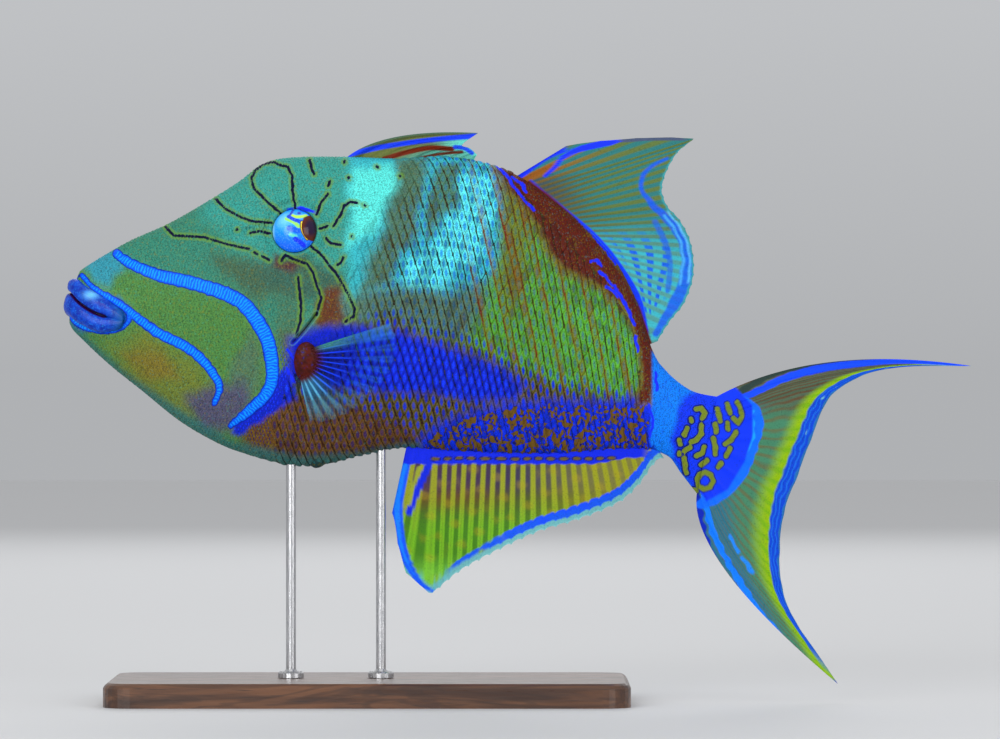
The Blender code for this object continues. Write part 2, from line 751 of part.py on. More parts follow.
def make_base():
    length, width, height = BASE_SIZE
    points = []
    steps = 7
    levels = ((0.0, 0.0), (0.0, height - BASE_CHAMFER), (BASE_CHAMFER * 0.4, height - BASE_CHAMFER * 0.4),
              (BASE_CHAMFER, height))
    for inset, z in levels:
        for quarter, (sx, sy) in enumerate(((1, 1), (-1, 1), (-1, -1), (1, -1))):
            for k in range(steps + 1):
                turn = math.pi / 2 * (quarter + k / steps)
                reach = BASE_CORNER - inset
                x = BASE_CENTRE_X + sx * (length / 2 - BASE_CORNER) + reach * math.cos(turn)
                y = sy * (width / 2 - BASE_CORNER) + reach * math.sin(turn)
                points.append(place(x, y, z))
    base = solid("stand_base", points, tube_faces(len(levels), 4 * (steps + 1)), "walnut")
    for x in ROD_X.values():
        low = -ROD_SUNK_IN_BASE - GAP
        hole = peg("hole", place(x, 0, height), UPRIGHT, ROD_RADIUS + GAP, low, 5.0, ROD_SIDES, "walnut")
        combine(base, [hole], "DIFFERENCE")


def make_rod(name, x):
    """Rod with a turned collar that rests just over the board."""
    board = BASE_SIZE[2]
    belly = curve_value(BELLY_LINE, x)
    profile = [
        (ROD_RADIUS, board - ROD_SUNK_IN_BASE), (ROD_RADIUS, board + GAP), (COLLAR_RADIUS, board + GAP),
        (COLLAR_RADIUS, board + COLLAR_HEIGHT - 1.0), (COLLAR_RADIUS - 1.0, board + COLLAR_HEIGHT),
        (ROD_RADIUS + 0.8, board + COLLAR_HEIGHT), (ROD_RADIUS, board + COLLAR_HEIGHT + 1.0),
        (ROD_RADIUS, belly + ROD_SUNK_IN_BODY),
    ]
    points = []
    for radius, z in profile:
        for k in range(ROD_SIDES):
            turn = 2 * math.pi * k / ROD_SIDES
            points.append(place(x + radius * math.cos(turn), radius * math.sin(turn), z))
    solid(name, points, tube_faces(len(profile), ROD_SIDES), "steel")


def main():
    for old in list(bpy.data.objects):
        bpy.data.objects.remove(old)
    make_body()
    make_first_dorsal()
    soft_fin("second_dorsal_fin", BACK_LINE, SECOND_DORSAL_ROOTS, SECOND_DORSAL_LEAD,
             SECOND_DORSAL_TRAIL, SECOND_DORSAL_RAYS, SECOND_DORSAL_LEAD_SHARE, SECOND_DORSAL_WAVE,
             "fin_blue")
    soft_fin("anal_fin", BELLY_LINE, ANAL_ROOTS, ANAL_LEAD, ANAL_TRAIL, ANAL_RAYS, ANAL_LEAD_SHARE,
             ANAL_WAVE, "fin_yellow")
    make_tail()
    make_pectoral("pectoral_fin_left", -1)
    make_pectoral("pectoral_fin_right", 1)
    make_base()
    for name, x in ROD_X.items():
        make_rod(name, x)


main()
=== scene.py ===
# Queen triggerfish on a display stand: skin, scales, fins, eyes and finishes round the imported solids.
import math

import bpy
import numpy as np
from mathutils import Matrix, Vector


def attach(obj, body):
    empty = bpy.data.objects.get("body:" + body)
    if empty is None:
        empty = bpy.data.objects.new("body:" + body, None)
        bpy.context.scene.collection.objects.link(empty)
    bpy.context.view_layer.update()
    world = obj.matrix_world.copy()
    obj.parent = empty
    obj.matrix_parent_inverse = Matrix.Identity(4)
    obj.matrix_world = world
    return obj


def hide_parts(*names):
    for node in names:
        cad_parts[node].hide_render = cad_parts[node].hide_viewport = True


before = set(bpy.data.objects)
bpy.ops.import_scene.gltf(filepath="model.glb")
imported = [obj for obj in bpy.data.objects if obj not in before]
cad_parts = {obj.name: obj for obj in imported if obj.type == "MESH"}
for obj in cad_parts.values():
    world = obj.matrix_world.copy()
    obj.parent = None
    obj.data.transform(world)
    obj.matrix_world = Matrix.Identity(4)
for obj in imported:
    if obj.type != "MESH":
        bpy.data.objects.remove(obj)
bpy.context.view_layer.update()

rng = np.random.default_rng(7)
print("frame loaded")

# Side-view points are (x, z) in millimetres: x back from the lips, z above the floor.
# The left flank faces -Y. Distances s run along the body's axis, heights h square to it.

body = {
    "length": 453.5,
    "noseUp": math.radians(11.6),
    "axisStart": (-1.5, 201.0),
    "backLine": [
        (2.5, 211.0), (7.5, 216.0), (17.5, 222.5), (32.5, 231.0), (52.5, 240.0), (72.5, 251.5),
        (87.5, 261.0), (98.0, 269.0), (110.0, 272.3), (137.5, 273.0), (167.5, 272.0), (190.0, 272.8),
        (207.5, 270.5), (226.5, 263.5), (244.0, 251.0), (262.5, 235.5), (276.5, 219.0), (286.5, 199.5),
        (292.5, 180.0), (298.0, 169.0), (312.5, 156.5), (328.5, 152.5)],
    "bellyLine": [
        (1.0, 196.0), (2.5, 188.0), (7.5, 182.0), (22.5, 168.0), (37.5, 156.0), (57.5, 140.0),
        (77.5, 128.5), (92.5, 123.0), (107.5, 119.0), (120.0, 118.0), (132.5, 119.0), (147.5, 123.0),
        (170.0, 127.0), (192.5, 125.5), (242.5, 124.0), (287.5, 126.5), (301.5, 122.5),
        (307.5, 114.5), (316.5, 103.0)],
    "halfWidth": [
        (4.5, 4.4), (9.6, 8.6), (16.0, 11.4), (21.0, 13.0), (27.0, 14.6), (33.5, 16.2), (50.0, 19.6),
        (80.0, 24.0), (105.0, 26.8), (128.0, 28.3), (150.0, 28.0), (180.0, 26.0), (210.0, 22.5),
        (240.0, 17.5), (270.0, 12.0), (292.0, 8.6), (308.0, 6.5), (322.0, 4.8), (334.0, 3.5)],
    "widestAt": 0.52,
    "backRoundness": 2.1,
    "bellyRoundness": 1.75,
    "snoutStart": 6.4,
    "tailBase": 331.0,
}


# Curves and fields, for arrays of places

def curveValue(points, at):      # smooth curve through (position, value) points
    xs, ys = np.array(points, float).T
    slopes = np.empty(len(xs))
    slopes[1:-1] = (ys[2:] - ys[:-2]) / (xs[2:] - xs[:-2])
    slopes[0] = (ys[1] - ys[0]) / (xs[1] - xs[0])
    slopes[-1] = (ys[-1] - ys[-2]) / (xs[-1] - xs[-2])
    i = np.clip(np.searchsorted(xs, at) - 1, 0, len(xs) - 2)
    span = xs[i + 1] - xs[i]
    t = np.clip((at - xs[i]) / span, 0, 1)
    ease = t * t * (3 - 2 * t)
    pulls = t * (1 - t) ** 2 * slopes[i] + t * t * (t - 1) * slopes[i + 1]
    return ys[i] + (ys[i + 1] - ys[i]) * ease + pulls * span


def curvePoint(points, share):   # places at shares of the length of a smooth curve
    points = np.array(points, float)
    reach = np.concatenate([[0], np.cumsum(np.linalg.norm(np.diff(points, axis=0), axis=1))])
    return [curveValue(list(zip(reach, axis)), share * reach[-1]) for axis in points.T]


def traced(line, steps=4):       # a smooth curve as a line of many short parts
    return np.stack(curvePoint(line, np.linspace(0, 1, steps * len(line))), -1)


def smoothStep(value, start, end):
    t = np.clip((value - start) / (end - start), 0, 1)
    return t * t * (3 - 2 * t)


def wobble(x, z, size):          # gentle uneven swell from -1 to 1, about size millimetres across
    turn = 2 * math.pi / size
    return (np.sin(turn * (x * 0.9 + z * 0.35) + 1.7) + np.sin(turn * (z * 0.8 - x * 0.45) + 0.4)
            + np.sin(turn * (x * 0.37 + z * 1.3) * 0.7 + 4.1)) / 3


farAway = 99.0                   # field value well outside a mark


def strokeField(x, z, line, halfWidth, reach=9.0):
    # signed distance to a stroke's edge, negative inside, and how far along the stroke
    line = np.array(line, float)
    field, run = np.full(x.shape, farAway), np.zeros(x.shape)
    low, high = line.min(0) - reach, line.max(0) + reach
    near = (x > low[0]) & (x < high[0]) & (z > low[1]) & (z < high[1])
    px, pz = x[near], z[near]
    best, along, start = np.full(px.shape, farAway), np.zeros(px.shape), 0.0
    for (x0, z0), (x1, z1) in zip(line, line[1:]):
        length = max(math.hypot(x1 - x0, z1 - z0), 1e-6)
        t = np.clip(((px - x0) * (x1 - x0) + (pz - z0) * (z1 - z0)) / length ** 2, 0, 1)
        gap = np.hypot(px - x0 - t * (x1 - x0), pz - z0 - t * (z1 - z0))
        closer = gap < best
        best[closer] = gap[closer]
        along[closer] = (start + t * length)[closer]
        start += length
    width = curveValue(halfWidth, along / start) if isinstance(halfWidth, list) else halfWidth
    field[near], run[near] = best - width, along
    return field, run


def nearestStroke(x, z, lines, halfWidth):
    field = np.full(x.shape, farAway)
    for line in lines:
        field = np.minimum(field, strokeField(x, z, line, halfWidth)[0])
    return field


def areaField(x, z, outline):    # signed distance to a closed outline, negative inside
    edge = strokeField(x, z, outline + outline[:1], 0.0, 40.0)[0]
    inside = np.zeros(x.shape, bool)
    for (x0, z0), (x1, z1) in zip(outline, outline[1:] + outline[:1]):
        if z0 != z1:
            crosses = ((z0 > z) != (z1 > z)) & (x < (x1 - x0) * (z - z0) / (z1 - z0) + x0)
            inside ^= crosses
    return np.where(inside, -edge, edge)


# The body's own frame

cosUp, sinUp = math.cos(body["noseUp"]), math.sin(body["noseUp"])


def toBody(x, z):
    dx, dz = x - body["axisStart"][0], z - body["axisStart"][1]
    return dx * cosUp - dz * sinUp, dx * sinUp + dz * cosUp


def sideView(s, h):
    return body["axisStart"][0] + s * cosUp + h * sinUp, body["axisStart"][1] - s * sinUp + h * cosUp


topCurve = [toBody(*point) for point in body["backLine"]]
bottomCurve = [toBody(*point) for point in body["bellyLine"]]


def section(s):
    top, bottom = curveValue(topCurve, s), curveValue(bottomCurve, s)
    return top, bottom, bottom + (top - bottom) * body["widestAt"], curveValue(body["halfWidth"], s)


def bodyPoint(s, angle):         # the angle runs from the back over the left flank to the belly
    top, bottom, widest, half = section(s)
    above = np.cos(angle) >= 0
    power = np.where(above, 2 / body["backRoundness"], 2 / body["bellyRoundness"])
    rise = np.where(above, top, bottom) - widest
    h = widest + rise * np.abs(np.cos(angle)) ** power
    y = -half * np.abs(np.sin(angle)) ** power * np.sign(np.sin(angle))
    x, z = sideView(s, h)
    return np.stack(np.broadcast_arrays(x, y, z), -1)


def bodyNormal(s, angle):
    along = bodyPoint(s + 0.5, angle) - bodyPoint(s - 0.5, angle)
    around = bodyPoint(s, angle + 0.02) - bodyPoint(s, angle - 0.02)
    normal = np.cross(around, along)
    return normal / np.maximum(np.linalg.norm(normal, axis=-1, keepdims=True), 1e-9)


def flankAt(x, z):               # half the body's width at side-view places
    s, h = toBody(x, z)
    top, bottom, widest, half = section(s)
    above = h >= widest
    power = np.where(above, body["backRoundness"], body["bellyRoundness"])
    share = np.clip(np.abs((h - widest) / (np.where(above, top, bottom) - widest)), 0, 0.999)
    return half * (1 - share ** power) ** (1 / power)


def flankNormal(x, z):           # outward normal of the left flank
    slopeX = (flankAt(x + 1, z) - flankAt(x - 1, z)) / 2
    slopeZ = (flankAt(x, z + 1) - flankAt(x, z - 1)) / 2
    return Vector((-float(slopeX), -1.0, -float(slopeZ))).normalized()


def faceAxes(x, z, side):        # back, up and outward on the left (-1) or right (1) flank
    outward = flankNormal(x, z)
    outward.y *= -side
    back = Vector((1, 0, 0))
    back = (back - outward * back.dot(outward)).normalized()
    return back, outward.cross(back) * -side, outward


# The unwrap: heights a are measured round the section from its widest level, up positive

unwrapS = np.linspace(body["snoutStart"], body["tailBase"], 240)
unwrapShare = np.linspace(-1, 1, 161)


def makeUnwrap():
    angles = np.linspace(0, math.pi, 361)
    rings = bodyPoint(unwrapS[:, None], angles[None, :])
    steps = np.linalg.norm(np.diff(rings, axis=1), axis=2)
    arcs = np.concatenate([np.zeros((len(unwrapS), 1)), np.cumsum(steps, axis=1)], axis=1)
    up, down = arcs[:, 180], arcs[:, -1] - arcs[:, 180]
    table = np.empty((len(unwrapS), len(unwrapShare)))
    for row in range(len(unwrapS)):
        heights = np.where(unwrapShare > 0, unwrapShare * up[row], unwrapShare * down[row])
        table[row] = np.interp(up[row] - heights, arcs[row], angles)
    return table, up, down


unwrapAngle, unwrapUp, unwrapDown = makeUnwrap()


def angleAt(s, a):               # angle round the section for a height on the unwrap
    up, down = np.interp(s, unwrapS, unwrapUp), np.interp(s, unwrapS, unwrapDown)
    share = np.clip(np.where(a > 0, a / up, a / down), -0.999, 0.999)
    row = np.clip((s - unwrapS[0]) / (unwrapS[1] - unwrapS[0]), 0, len(unwrapS) - 1.001)
    column = (share + 1) / 2 * (len(unwrapShare) - 1)
    i, k = row.astype(int), column.astype(int)
    past, over = row - i, column - k
    near = unwrapAngle[i, k] * (1 - over) + unwrapAngle[i, k + 1] * over
    far = unwrapAngle[i + 1, k] * (1 - over) + unwrapAngle[i + 1, k + 1] * over
    return near * (1 - past) + far * past


def unwrapUv(s, a):              # the same unwrap as a map from 0 to 1
    return np.stack([0.02 + 0.96 * s / 340, 0.5 + 0.48 * a / 140], -1)


# Meshes and objects

def metres(points):              # side-view millimetres to places in the frame
    return (points - np.array([body["length"] / 2, 0, 0])) / 1000


def addMesh(name, points, faceSets, material, values=None, colours=None, uv=None, smooth=True):
    mesh = bpy.data.meshes.new(name)
    mesh.vertices.add(len(points))
    mesh.vertices.foreach_set("co", metres(points).astype(np.float32).ravel())
    corners = np.concatenate([faces.ravel() for faces in faceSets]).astype(np.int32)
    sizes = np.concatenate([np.full(len(faces), faces.shape[1]) for faces in faceSets])
    starts = np.concatenate([[0], np.cumsum(sizes)[:-1]]).astype(np.int32)
    mesh.loops.add(len(corners))
    mesh.loops.foreach_set("vertex_index", corners)
    mesh.polygons.add(len(sizes))
    mesh.polygons.foreach_set("loop_start", starts)
    mesh.update(calc_edges=True)
    mesh.validate()
    if smooth:
        mesh.shade_smooth()
    for key, value in (values or {}).items():
        layer = mesh.attributes.new(key, "FLOAT", "POINT")
        layer.data.foreach_set("value", np.broadcast_to(value, len(points)).astype(np.float32).ravel())
    for key, value in (colours or {}).items():
        layer = mesh.attributes.new(key, "FLOAT_COLOR", "POINT")
        full = np.concatenate([value, np.ones((len(points), 1))], axis=1)
        layer.data.foreach_set("color", full.astype(np.float32).ravel())
    if uv is not None:
        layer = mesh.uv_layers.new(name="OFBake")
        layer.data.foreach_set("uv", uv[corners].astype(np.float32).ravel())
    mesh.materials.append(material)
    piece = bpy.data.objects.new(name, mesh)
    bpy.context.scene.collection.objects.link(piece)
    return piece


def gridFaces(rows, columns, closed=False):      # quads of a grid laid row after row
    across = columns if closed else columns - 1
    i, k = np.meshgrid(np.arange(rows - 1), np.arange(across), indexing="ij")
    i, k = i.ravel(), k.ravel()
    beside = (k + 1) % columns
    return np.stack([i * columns + k, i * columns + beside, (i + 1) * columns + beside,
                     (i + 1) * columns + k], axis=1)


def ridesAs(piece, slot, *nodes):
    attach(piece, "root")
    if nodes:
        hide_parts(*nodes)
    return piece


# Material nodes

def rgb(colour):                 # screen colour out of 255 to the linear value that shaders take
    part = np.array(colour, float) / 255
    return np.where(part <= 0.04045, part / 12.92, ((part + 0.055) / 1.055) ** 2.4)


class Finish:                    # one material, with short calls for the nodes used here
    def __init__(self, name, **sockets):
        self.material = bpy.data.materials.new(name)
        self.material.use_nodes = True
        self.tree = self.material.node_tree
        self.shader = self.tree.nodes["Principled BSDF"]
        for key, value in sockets.items():
            self.shader.inputs[key.replace("_", " ")].default_value = value
        place = self.add("ShaderNodeTexCoord").outputs["Object"]
        self.place = self.add("ShaderNodeVectorMath", {0: place, 1: (1000, 1000, 1000)},
                              operation="MULTIPLY").outputs[0]

    def add(self, kind, sockets=None, **settings):
        node = self.tree.nodes.new(kind)
        for key, value in settings.items():
            setattr(node, key, value)
        for key, value in (sockets or {}).items():
            if isinstance(value, bpy.types.NodeSocket):
                self.tree.links.new(value, node.inputs[key])
            elif isinstance(value, tuple) and len(value) == 3 and node.inputs[key].type == "RGBA":
                node.inputs[key].default_value = (*rgb(value), 1)
            else:
                node.inputs[key].default_value = value
        return node

    def value(self, name):
        return self.add("ShaderNodeAttribute", attribute_name=name).outputs["Fac"]

    def colour(self, name):
        return self.add("ShaderNodeAttribute", attribute_name=name).outputs["Color"]

    def math(self, operation, a, b=0.0, c=0.0):
        return self.add("ShaderNodeMath", {0: a, 1: b, 2: c}, operation=operation).outputs[0]

    def step(self, value, start, end):
        sockets = {"Value": value, "From Min": start, "From Max": end}
        return self.add("ShaderNodeMapRange", sockets, interpolation_type="SMOOTHSTEP").outputs[0]

    def times(self, a, b):
        return self.math("MULTIPLY", a, b)

    def mix(self, factor, a, b):
        return self.add("ShaderNodeMix", {0: factor, 6: a, 7: b}, data_type="RGBA").outputs[2]

    def noise(self, size, detail=2.0, distortion=0.0, stretch=(1, 1, 1)):
        place = self.add("ShaderNodeMapping", {"Vector": self.place, "Scale": stretch}).outputs[0]
        sockets = {"Vector": place, "Scale": 1 / size, "Detail": detail, "Distortion": distortion}
        return self.add("ShaderNodeTexNoise", sockets).outputs["Fac"]

    def blue(self, colour):
        return self.add("ShaderNodeSeparateColor", {0: colour}).outputs["Blue"]

    def bump(self, height, distance, strength):      # the distance is in millimetres
        sockets = {"Height": height, "Distance": distance / 1000, "Strength": strength}
        return self.add("ShaderNodeBump", sockets).outputs[0]

    def wire(self, **sockets):   # links or sets the shader's own sockets
        for key, value in sockets.items():
            socket = self.shader.inputs[key.replace("_", " ")]
            if isinstance(value, bpy.types.NodeSocket):
                self.tree.links.new(value, socket)
            else:
                socket.default_value = value
        return self.material


# Markings, as fields over the side view, shared by skin, scales and the tail's base

bandMarks = [                    # bright blue bands on the face: line, and half width along it
    ([(26, 224.5), (29.5, 221.5), (37, 217.5), (48.5, 213), (59.5, 210.5), (70.5, 207.5), (82, 203.5),
        (90.5, 198.5), (97.5, 189.5), (102, 181), (104, 172), (104.5, 163), (102, 155), (93, 146),
        (83, 138)],
     [(0.0, 1.9), (0.08, 2.4), (0.3, 3.2), (0.6, 3.4), (0.8, 2.9), (0.93, 2.3), (1.0, 1.2)]),
    ([(8.5, 213.5), (15, 207), (24, 201.5), (31.5, 196.5), (39.5, 190), (48.5, 184), (59.5, 178.5),
        (68.5, 172), (75, 164), (78, 157.5), (75.5, 149.5)],
     [(0.0, 1.0), (0.15, 1.3), (0.35, 2.0), (0.55, 2.4), (0.8, 2.1), (1.0, 1.3)]),
    ([(4, 191.5), (8.5, 188), (13.5, 186.5), (20.5, 185.5), (26, 186), (30.5, 188), (33, 191),
        (32, 195)],
     [(0.0, 1.4), (0.4, 1.5), (0.8, 1.0), (1.0, 0.9)]),
]
darkMarks = [                    # thin dark lines round the eye
    [(50.5, 237.5), (55, 233), (64, 232.5), (70.5, 232), (82, 228.5), (93, 226)],
    [(95.5, 224.5), (97, 223.5)], [(99.5, 222.5), (103, 220.5)],
    [(75.5, 251.5), (80.5, 246.5), (87.5, 242.5), (94, 240), (104, 239)],
    [(109, 243.5), (102, 249.5), (95, 256.5), (93.5, 261.5), (95.5, 266), (99.5, 269), (104, 270),
     (108.5, 268), (111.5, 267.5), (114, 263), (114.5, 254), (116, 246.5)],
    [(122.5, 271), (123.5, 267), (125, 263.5)], [(133, 260), (132, 257.5)],
    [(132, 253.5), (128.5, 249), (126.5, 243)],
    [(146.5, 249), (143, 249.5), (140, 247.5), (139, 244), (137, 241), (135, 237.5)],
    [(150, 248), (150.5, 247.5)], [(132, 237.5), (128, 236)], [(131, 231.5), (133.5, 229), (138.5, 228)],
    [(144, 232.5), (144, 232)], [(103.5, 233.5), (98.5, 235), (93.5, 234)], [(87, 236), (87, 235.5)],
    [(123.5, 227.5), (128, 224), (131.5, 220), (133, 217.5), (135.5, 215), (137.5, 212), (141, 206),
     (143, 202), (145.5, 196.5), (145, 192.5), (141, 190)], [(140, 222), (138.5, 219), (137, 218)],
    [(109, 220), (111, 223), (115, 221), (122, 218.5), (125, 214), (126.5, 208.5), (129, 202),
     (127.5, 196.5), (126.5, 193)],
    [(117.5, 212), (118, 206.5), (119, 197.5), (118.5, 189.5), (116.5, 183.5)],
    [(140, 270.5), (140, 269.5)], [(156, 267.5), (156.5, 267)], [(167.5, 263), (168, 262.5)],
    [(142, 262), (142.5, 261.5)],
]
blueStreaks = [                  # narrow blue strokes on the nape, beside the red strip and by the gill
    [(126.5, 244), (118.5, 246.5), (112.5, 245.5)],
    [(216, 268), (221, 263), (224.5, 257), (229.5, 251), (234.5, 245.5)],
    [(223.5, 262.5), (228.5, 259), (230.5, 255)],
    [(257.5, 240.5), (263.5, 234.5), (270, 226.5), (275.5, 219)], [(262.5, 220), (266, 221), (268, 218)],
    [(267, 215), (270, 213), (273, 208.5)], [(270.5, 207.5), (274, 205.5), (276, 202.5)],
    [(274.5, 208), (278, 202.5), (281.5, 196), (284.5, 188.5)], [(285, 183), (286.5, 175)],
    [(291.5, 149), (294, 141), (292.5, 133)], [(295, 165), (296, 156)], [(112, 176), (116, 170.5)],
    [(111.5, 167), (115.5, 160)],
]
tailSpots = [                    # olive worm spots on the blue tail base
    [(315.5, 146.5), (318, 147), (320, 144.5), (318.5, 142)], [(313, 141.5), (313, 140.5)],
    [(326, 146.5), (327, 142.5), (327.5, 140.5)], [(331, 149), (332.5, 144.5)],
    [(334, 142), (336.5, 139.5), (338.5, 143), (337.5, 147), (336, 150)], [(325, 139), (325.5, 135)],
    [(331, 139.5), (331.5, 136.5)], [(311, 137), (309.5, 133.5)],
    [(318, 138.5), (318, 134), (315.5, 131), (313, 130)], [(324, 132), (325, 128), (325, 124)],
    [(335.5, 135), (333, 131), (330, 129)], [(307, 131), (307.5, 129)], [(312.5, 127.5), (309.5, 125.5)],
    [(319.5, 127.5), (318.5, 124.5), (315.5, 123)], [(332.5, 127), (330.5, 123)],
    [(307, 124.5), (307, 124)], [(321, 121), (318, 118.5)], [(328, 119.5), (326.5, 117.5)],
    [(309.5, 122), (310, 116.5), (310.5, 114.5)],
    [(320, 115), (323, 113.5), (324, 110.5), (322.5, 107.5), (319.5, 106.5), (316.5, 108), (316, 111.5),
     (317.5, 114), (320, 115)], [(314.5, 106), (315.5, 105.5)],
]
gillLine = [(126.5, 194), (124, 190.5), (120.5, 186), (117, 182), (114.5, 179.5)]

# Soft areas of colour, painted one over the other. Each has the width of its soft edge, an
# outline, and the colours of skin and scale rims, of the scales' centres where they differ,
# and of the grooves between.
paintAreas = [
    ("forehead", 12, [(-2.5, 226), (15, 215), (42.5, 215), (67.5, 209), (87.5, 202), (98.5, 188.5),
        (117.5, 178.5), (142.5, 186), (142.5, 281), (87.5, 281), (42.5, 256), (-2.5, 231)],
     (56, 134, 112), (30, 84, 72)),
    ("under the forehead", 10, [(75, 223.5), (112.5, 220), (117.5, 201), (98.5, 201), (80, 211)],
     (70, 104, 80), (36, 58, 46)),
    ("nape", 12, [(67.5, 258.5), (102.5, 281), (147.5, 281), (147.5, 201), (135, 188.5), (126.5, 220),
        (103.5, 220), (85, 228.5), (70, 238.5)],
     (56, 156, 144), (48, 142, 158), (26, 84, 82)),
    ("snout", 7, [(-7.5, 216), (17.5, 231), (31.5, 222), (23.5, 208), (16.5, 210), (9.5, 217)],
     (54, 150, 170), (30, 92, 110)),
    ("cheek olive", 16, [(20, 178.5), (42.5, 186), (70, 168.5), (78.5, 151), (60, 138.5), (32.5, 158.5)],
     (112, 128, 52), (66, 74, 30)),
    ("cheek rust", 9, [(30, 175), (50, 175), (56.5, 162), (42.5, 161)],
     (128, 116, 44), (76, 62, 24)),
    ("under the upper band", 8, [(92.5, 183.5), (98.5, 176), (98.5, 158.5), (87.5, 146), (78.5, 138.5),
        (81.5, 153.5), (85.5, 168.5)],
     (84, 120, 90), (44, 70, 56)),
    ("breast grey", 9, [(61.5, 153.5), (75, 158.5), (90.5, 160), (93.5, 150), (83.5, 136), (67.5, 135)],
     (86, 84, 112), (52, 46, 70)),
    ("behind the band", 7, [(105.5, 201), (117.5, 201), (120.5, 183.5), (113.5, 176), (109.5, 155),
        (107.5, 155), (109.5, 176)],
     (70, 122, 96), (36, 60, 50)),
    ("under the eye", 9, [(98.5, 217), (108.5, 220), (123.5, 220), (141.5, 210), (142.5, 201),
        (126.5, 201), (115.5, 203), (102.5, 207)],
     (62, 104, 88), (34, 56, 48)),
    # painted shade under the eye's raised rim, in maroon
    ("eye shadow", 5, [(103.5, 224), (109.5, 220), (119.5, 220), (120.5, 217), (112.5, 215),
        (104.5, 218)],
     (88, 52, 58), (46, 26, 30)),
    ("tympanum", 5, [(126.5, 198), (132.5, 207), (140.5, 208), (144, 197), (145.5, 190), (132.5, 185),
        (126.5, 188)],
     (104, 56, 34), (60, 28, 18)),
    ("mouth", 4, [(0.5, 207), (7.5, 209), (17.5, 206), (27.5, 202.5), (32.5, 198), (33.5, 192),
        (29.5, 187), (17.5, 184.5), (7.5, 187.5), (1.5, 194)],
     (10, 82, 190), (10, 30, 90)),
    ("mouth corner", 4, [(23.5, 201), (28.5, 200), (31, 196), (29.5, 191), (23.5, 191)],
     (26, 92, 122), (12, 40, 60)),
    # painted shade: dark purple on the skin behind the slit between the lips
    ("mouth line", 2, [(0.5, 209), (6.5, 203), (14.5, 198), (24, 194), (24.5, 190.5), (16.5, 191.5),
        (7.5, 196.5), (1.5, 202)],
     (40, 8, 66), (20, 4, 30)),
    ("trunk cyan", 10, [(140, 281), (217.5, 281), (222.5, 261), (220.5, 226), (212.5, 201),
        (192.5, 186), (167.5, 188), (141.5, 193.5), (143.5, 236)],
     (58, 186, 198), (34, 126, 206), (12, 44, 54)),
    ("nape glow", 7, [(143.5, 267), (163.5, 269), (166.5, 256), (157.5, 237), (143.5, 226),
        (142.5, 243.5)],
     (92, 228, 220), (46, 150, 206), (24, 84, 92)),
    ("rear glow", 7, [(198.5, 263), (213.5, 265), (216, 243.5), (208.5, 226), (187.5, 206),
        (169.5, 206), (173.5, 220), (187.5, 233.5)],
     (96, 236, 240), (44, 156, 226), (16, 60, 74)),
    ("first bar", 8, [(166.5, 271), (181.5, 271), (179.5, 251), (173.5, 231), (163.5, 210),
        (150.5, 203), (150.5, 220), (161.5, 238)],
     (78, 116, 92), (56, 106, 124), (52, 32, 14)),
    ("second bar", 6, [(186.5, 269), (198.5, 269), (195.5, 253), (187.5, 238), (179.5, 231),
        (181.5, 245)],
     (72, 122, 100), (54, 112, 130), (52, 36, 18)),
    ("lower grey", 12, [(140, 202), (167.5, 208), (192.5, 205), (212.5, 211), (220.5, 186),
        (217.5, 175), (187.5, 182), (167.5, 188), (141.5, 190)],
     (84, 118, 98), (50, 100, 128), (40, 22, 14)),
    ("green", 11, [(220, 265), (241.5, 244), (263.5, 220), (278.5, 199), (288.5, 176), (288.5, 150),
        (247.5, 157), (225.5, 165), (202.5, 178), (209.5, 201), (219.5, 226)],
     (86, 164, 48), (70, 128, 112), (58, 60, 14)),
    ("olive bar", 8, [(217.5, 259), (227.5, 248.5), (231.5, 226), (227.5, 201), (221.5, 191),
        (217.5, 211), (219.5, 236)],
     (110, 122, 34), (78, 112, 84), (92, 44, 12)),
    ("leaf green", 9, [(247.5, 201), (272.5, 198.5), (283.5, 176), (281.5, 157), (257.5, 161),
        (245.5, 181)],
     (92, 176, 50), (68, 136, 116), (50, 66, 16)),
]
blueHeart = [(111.5, 183), (126.5, 188.5), (140, 190), (167.5, 187), (187.5, 180), (202.5, 175),
    (220, 168), (232.5, 159), (225.5, 150), (202.5, 149), (182.5, 153), (163.5, 153), (142.5, 155),
    (122.5, 156), (110.5, 160)]
wormBand = [(177.5, 131), (187.5, 139), (202.5, 145), (222.5, 149), (242.5, 151), (267.5, 150),
    (287.5, 152), (297.5, 146), (299.5, 129), (287.5, 120), (177.5, 120)]
bandFoot = [(83, 134), (87.5, 143), (98.5, 152), (105.5, 162), (110.5, 167), (114.5, 161),
    (116.5, 152), (105.5, 145), (96.5, 139), (87.5, 133)]
lowerBlue = [(110.5, 183), (140, 190), (167.5, 190), (177.5, 185), (190, 181), (202.5, 177.5),
    (227.5, 165.5), (247.5, 157), (272.5, 152), (295, 149), (298.5, 131), (292.5, 122), (187.5, 122),
    (175, 127.5), (160, 139), (142.5, 151), (127.5, 155), (110.5, 159)]
purpleBelly = [(85.5, 136), (98.5, 150), (109.5, 157), (132.5, 155), (153.5, 149), (172.5, 137),
    (185.5, 128), (179.5, 120), (117.5, 116), (87.5, 125)]
bellyRim = [(0.5, 187), (27.5, 162), (52.5, 145), (82.5, 127), (117.5, 119), (147.5, 121),
    (172.5, 126), (207.5, 125), (287.5, 126)]
redStrip = [(217.5, 267), (223.5, 265), (230.5, 262), (241.5, 254), (253.5, 243.5), (267.5, 228.5),
    (278.5, 213.5), (287.5, 197), (292.5, 182), (296, 173), (295, 161), (292.5, 150), (286, 149),
    (289, 163), (287.5, 176), (284.5, 187), (280, 197), (272.5, 206), (261.5, 212), (250.5, 217),
    (243.5, 225), (237.5, 238), (229.5, 249), (221.5, 258)]
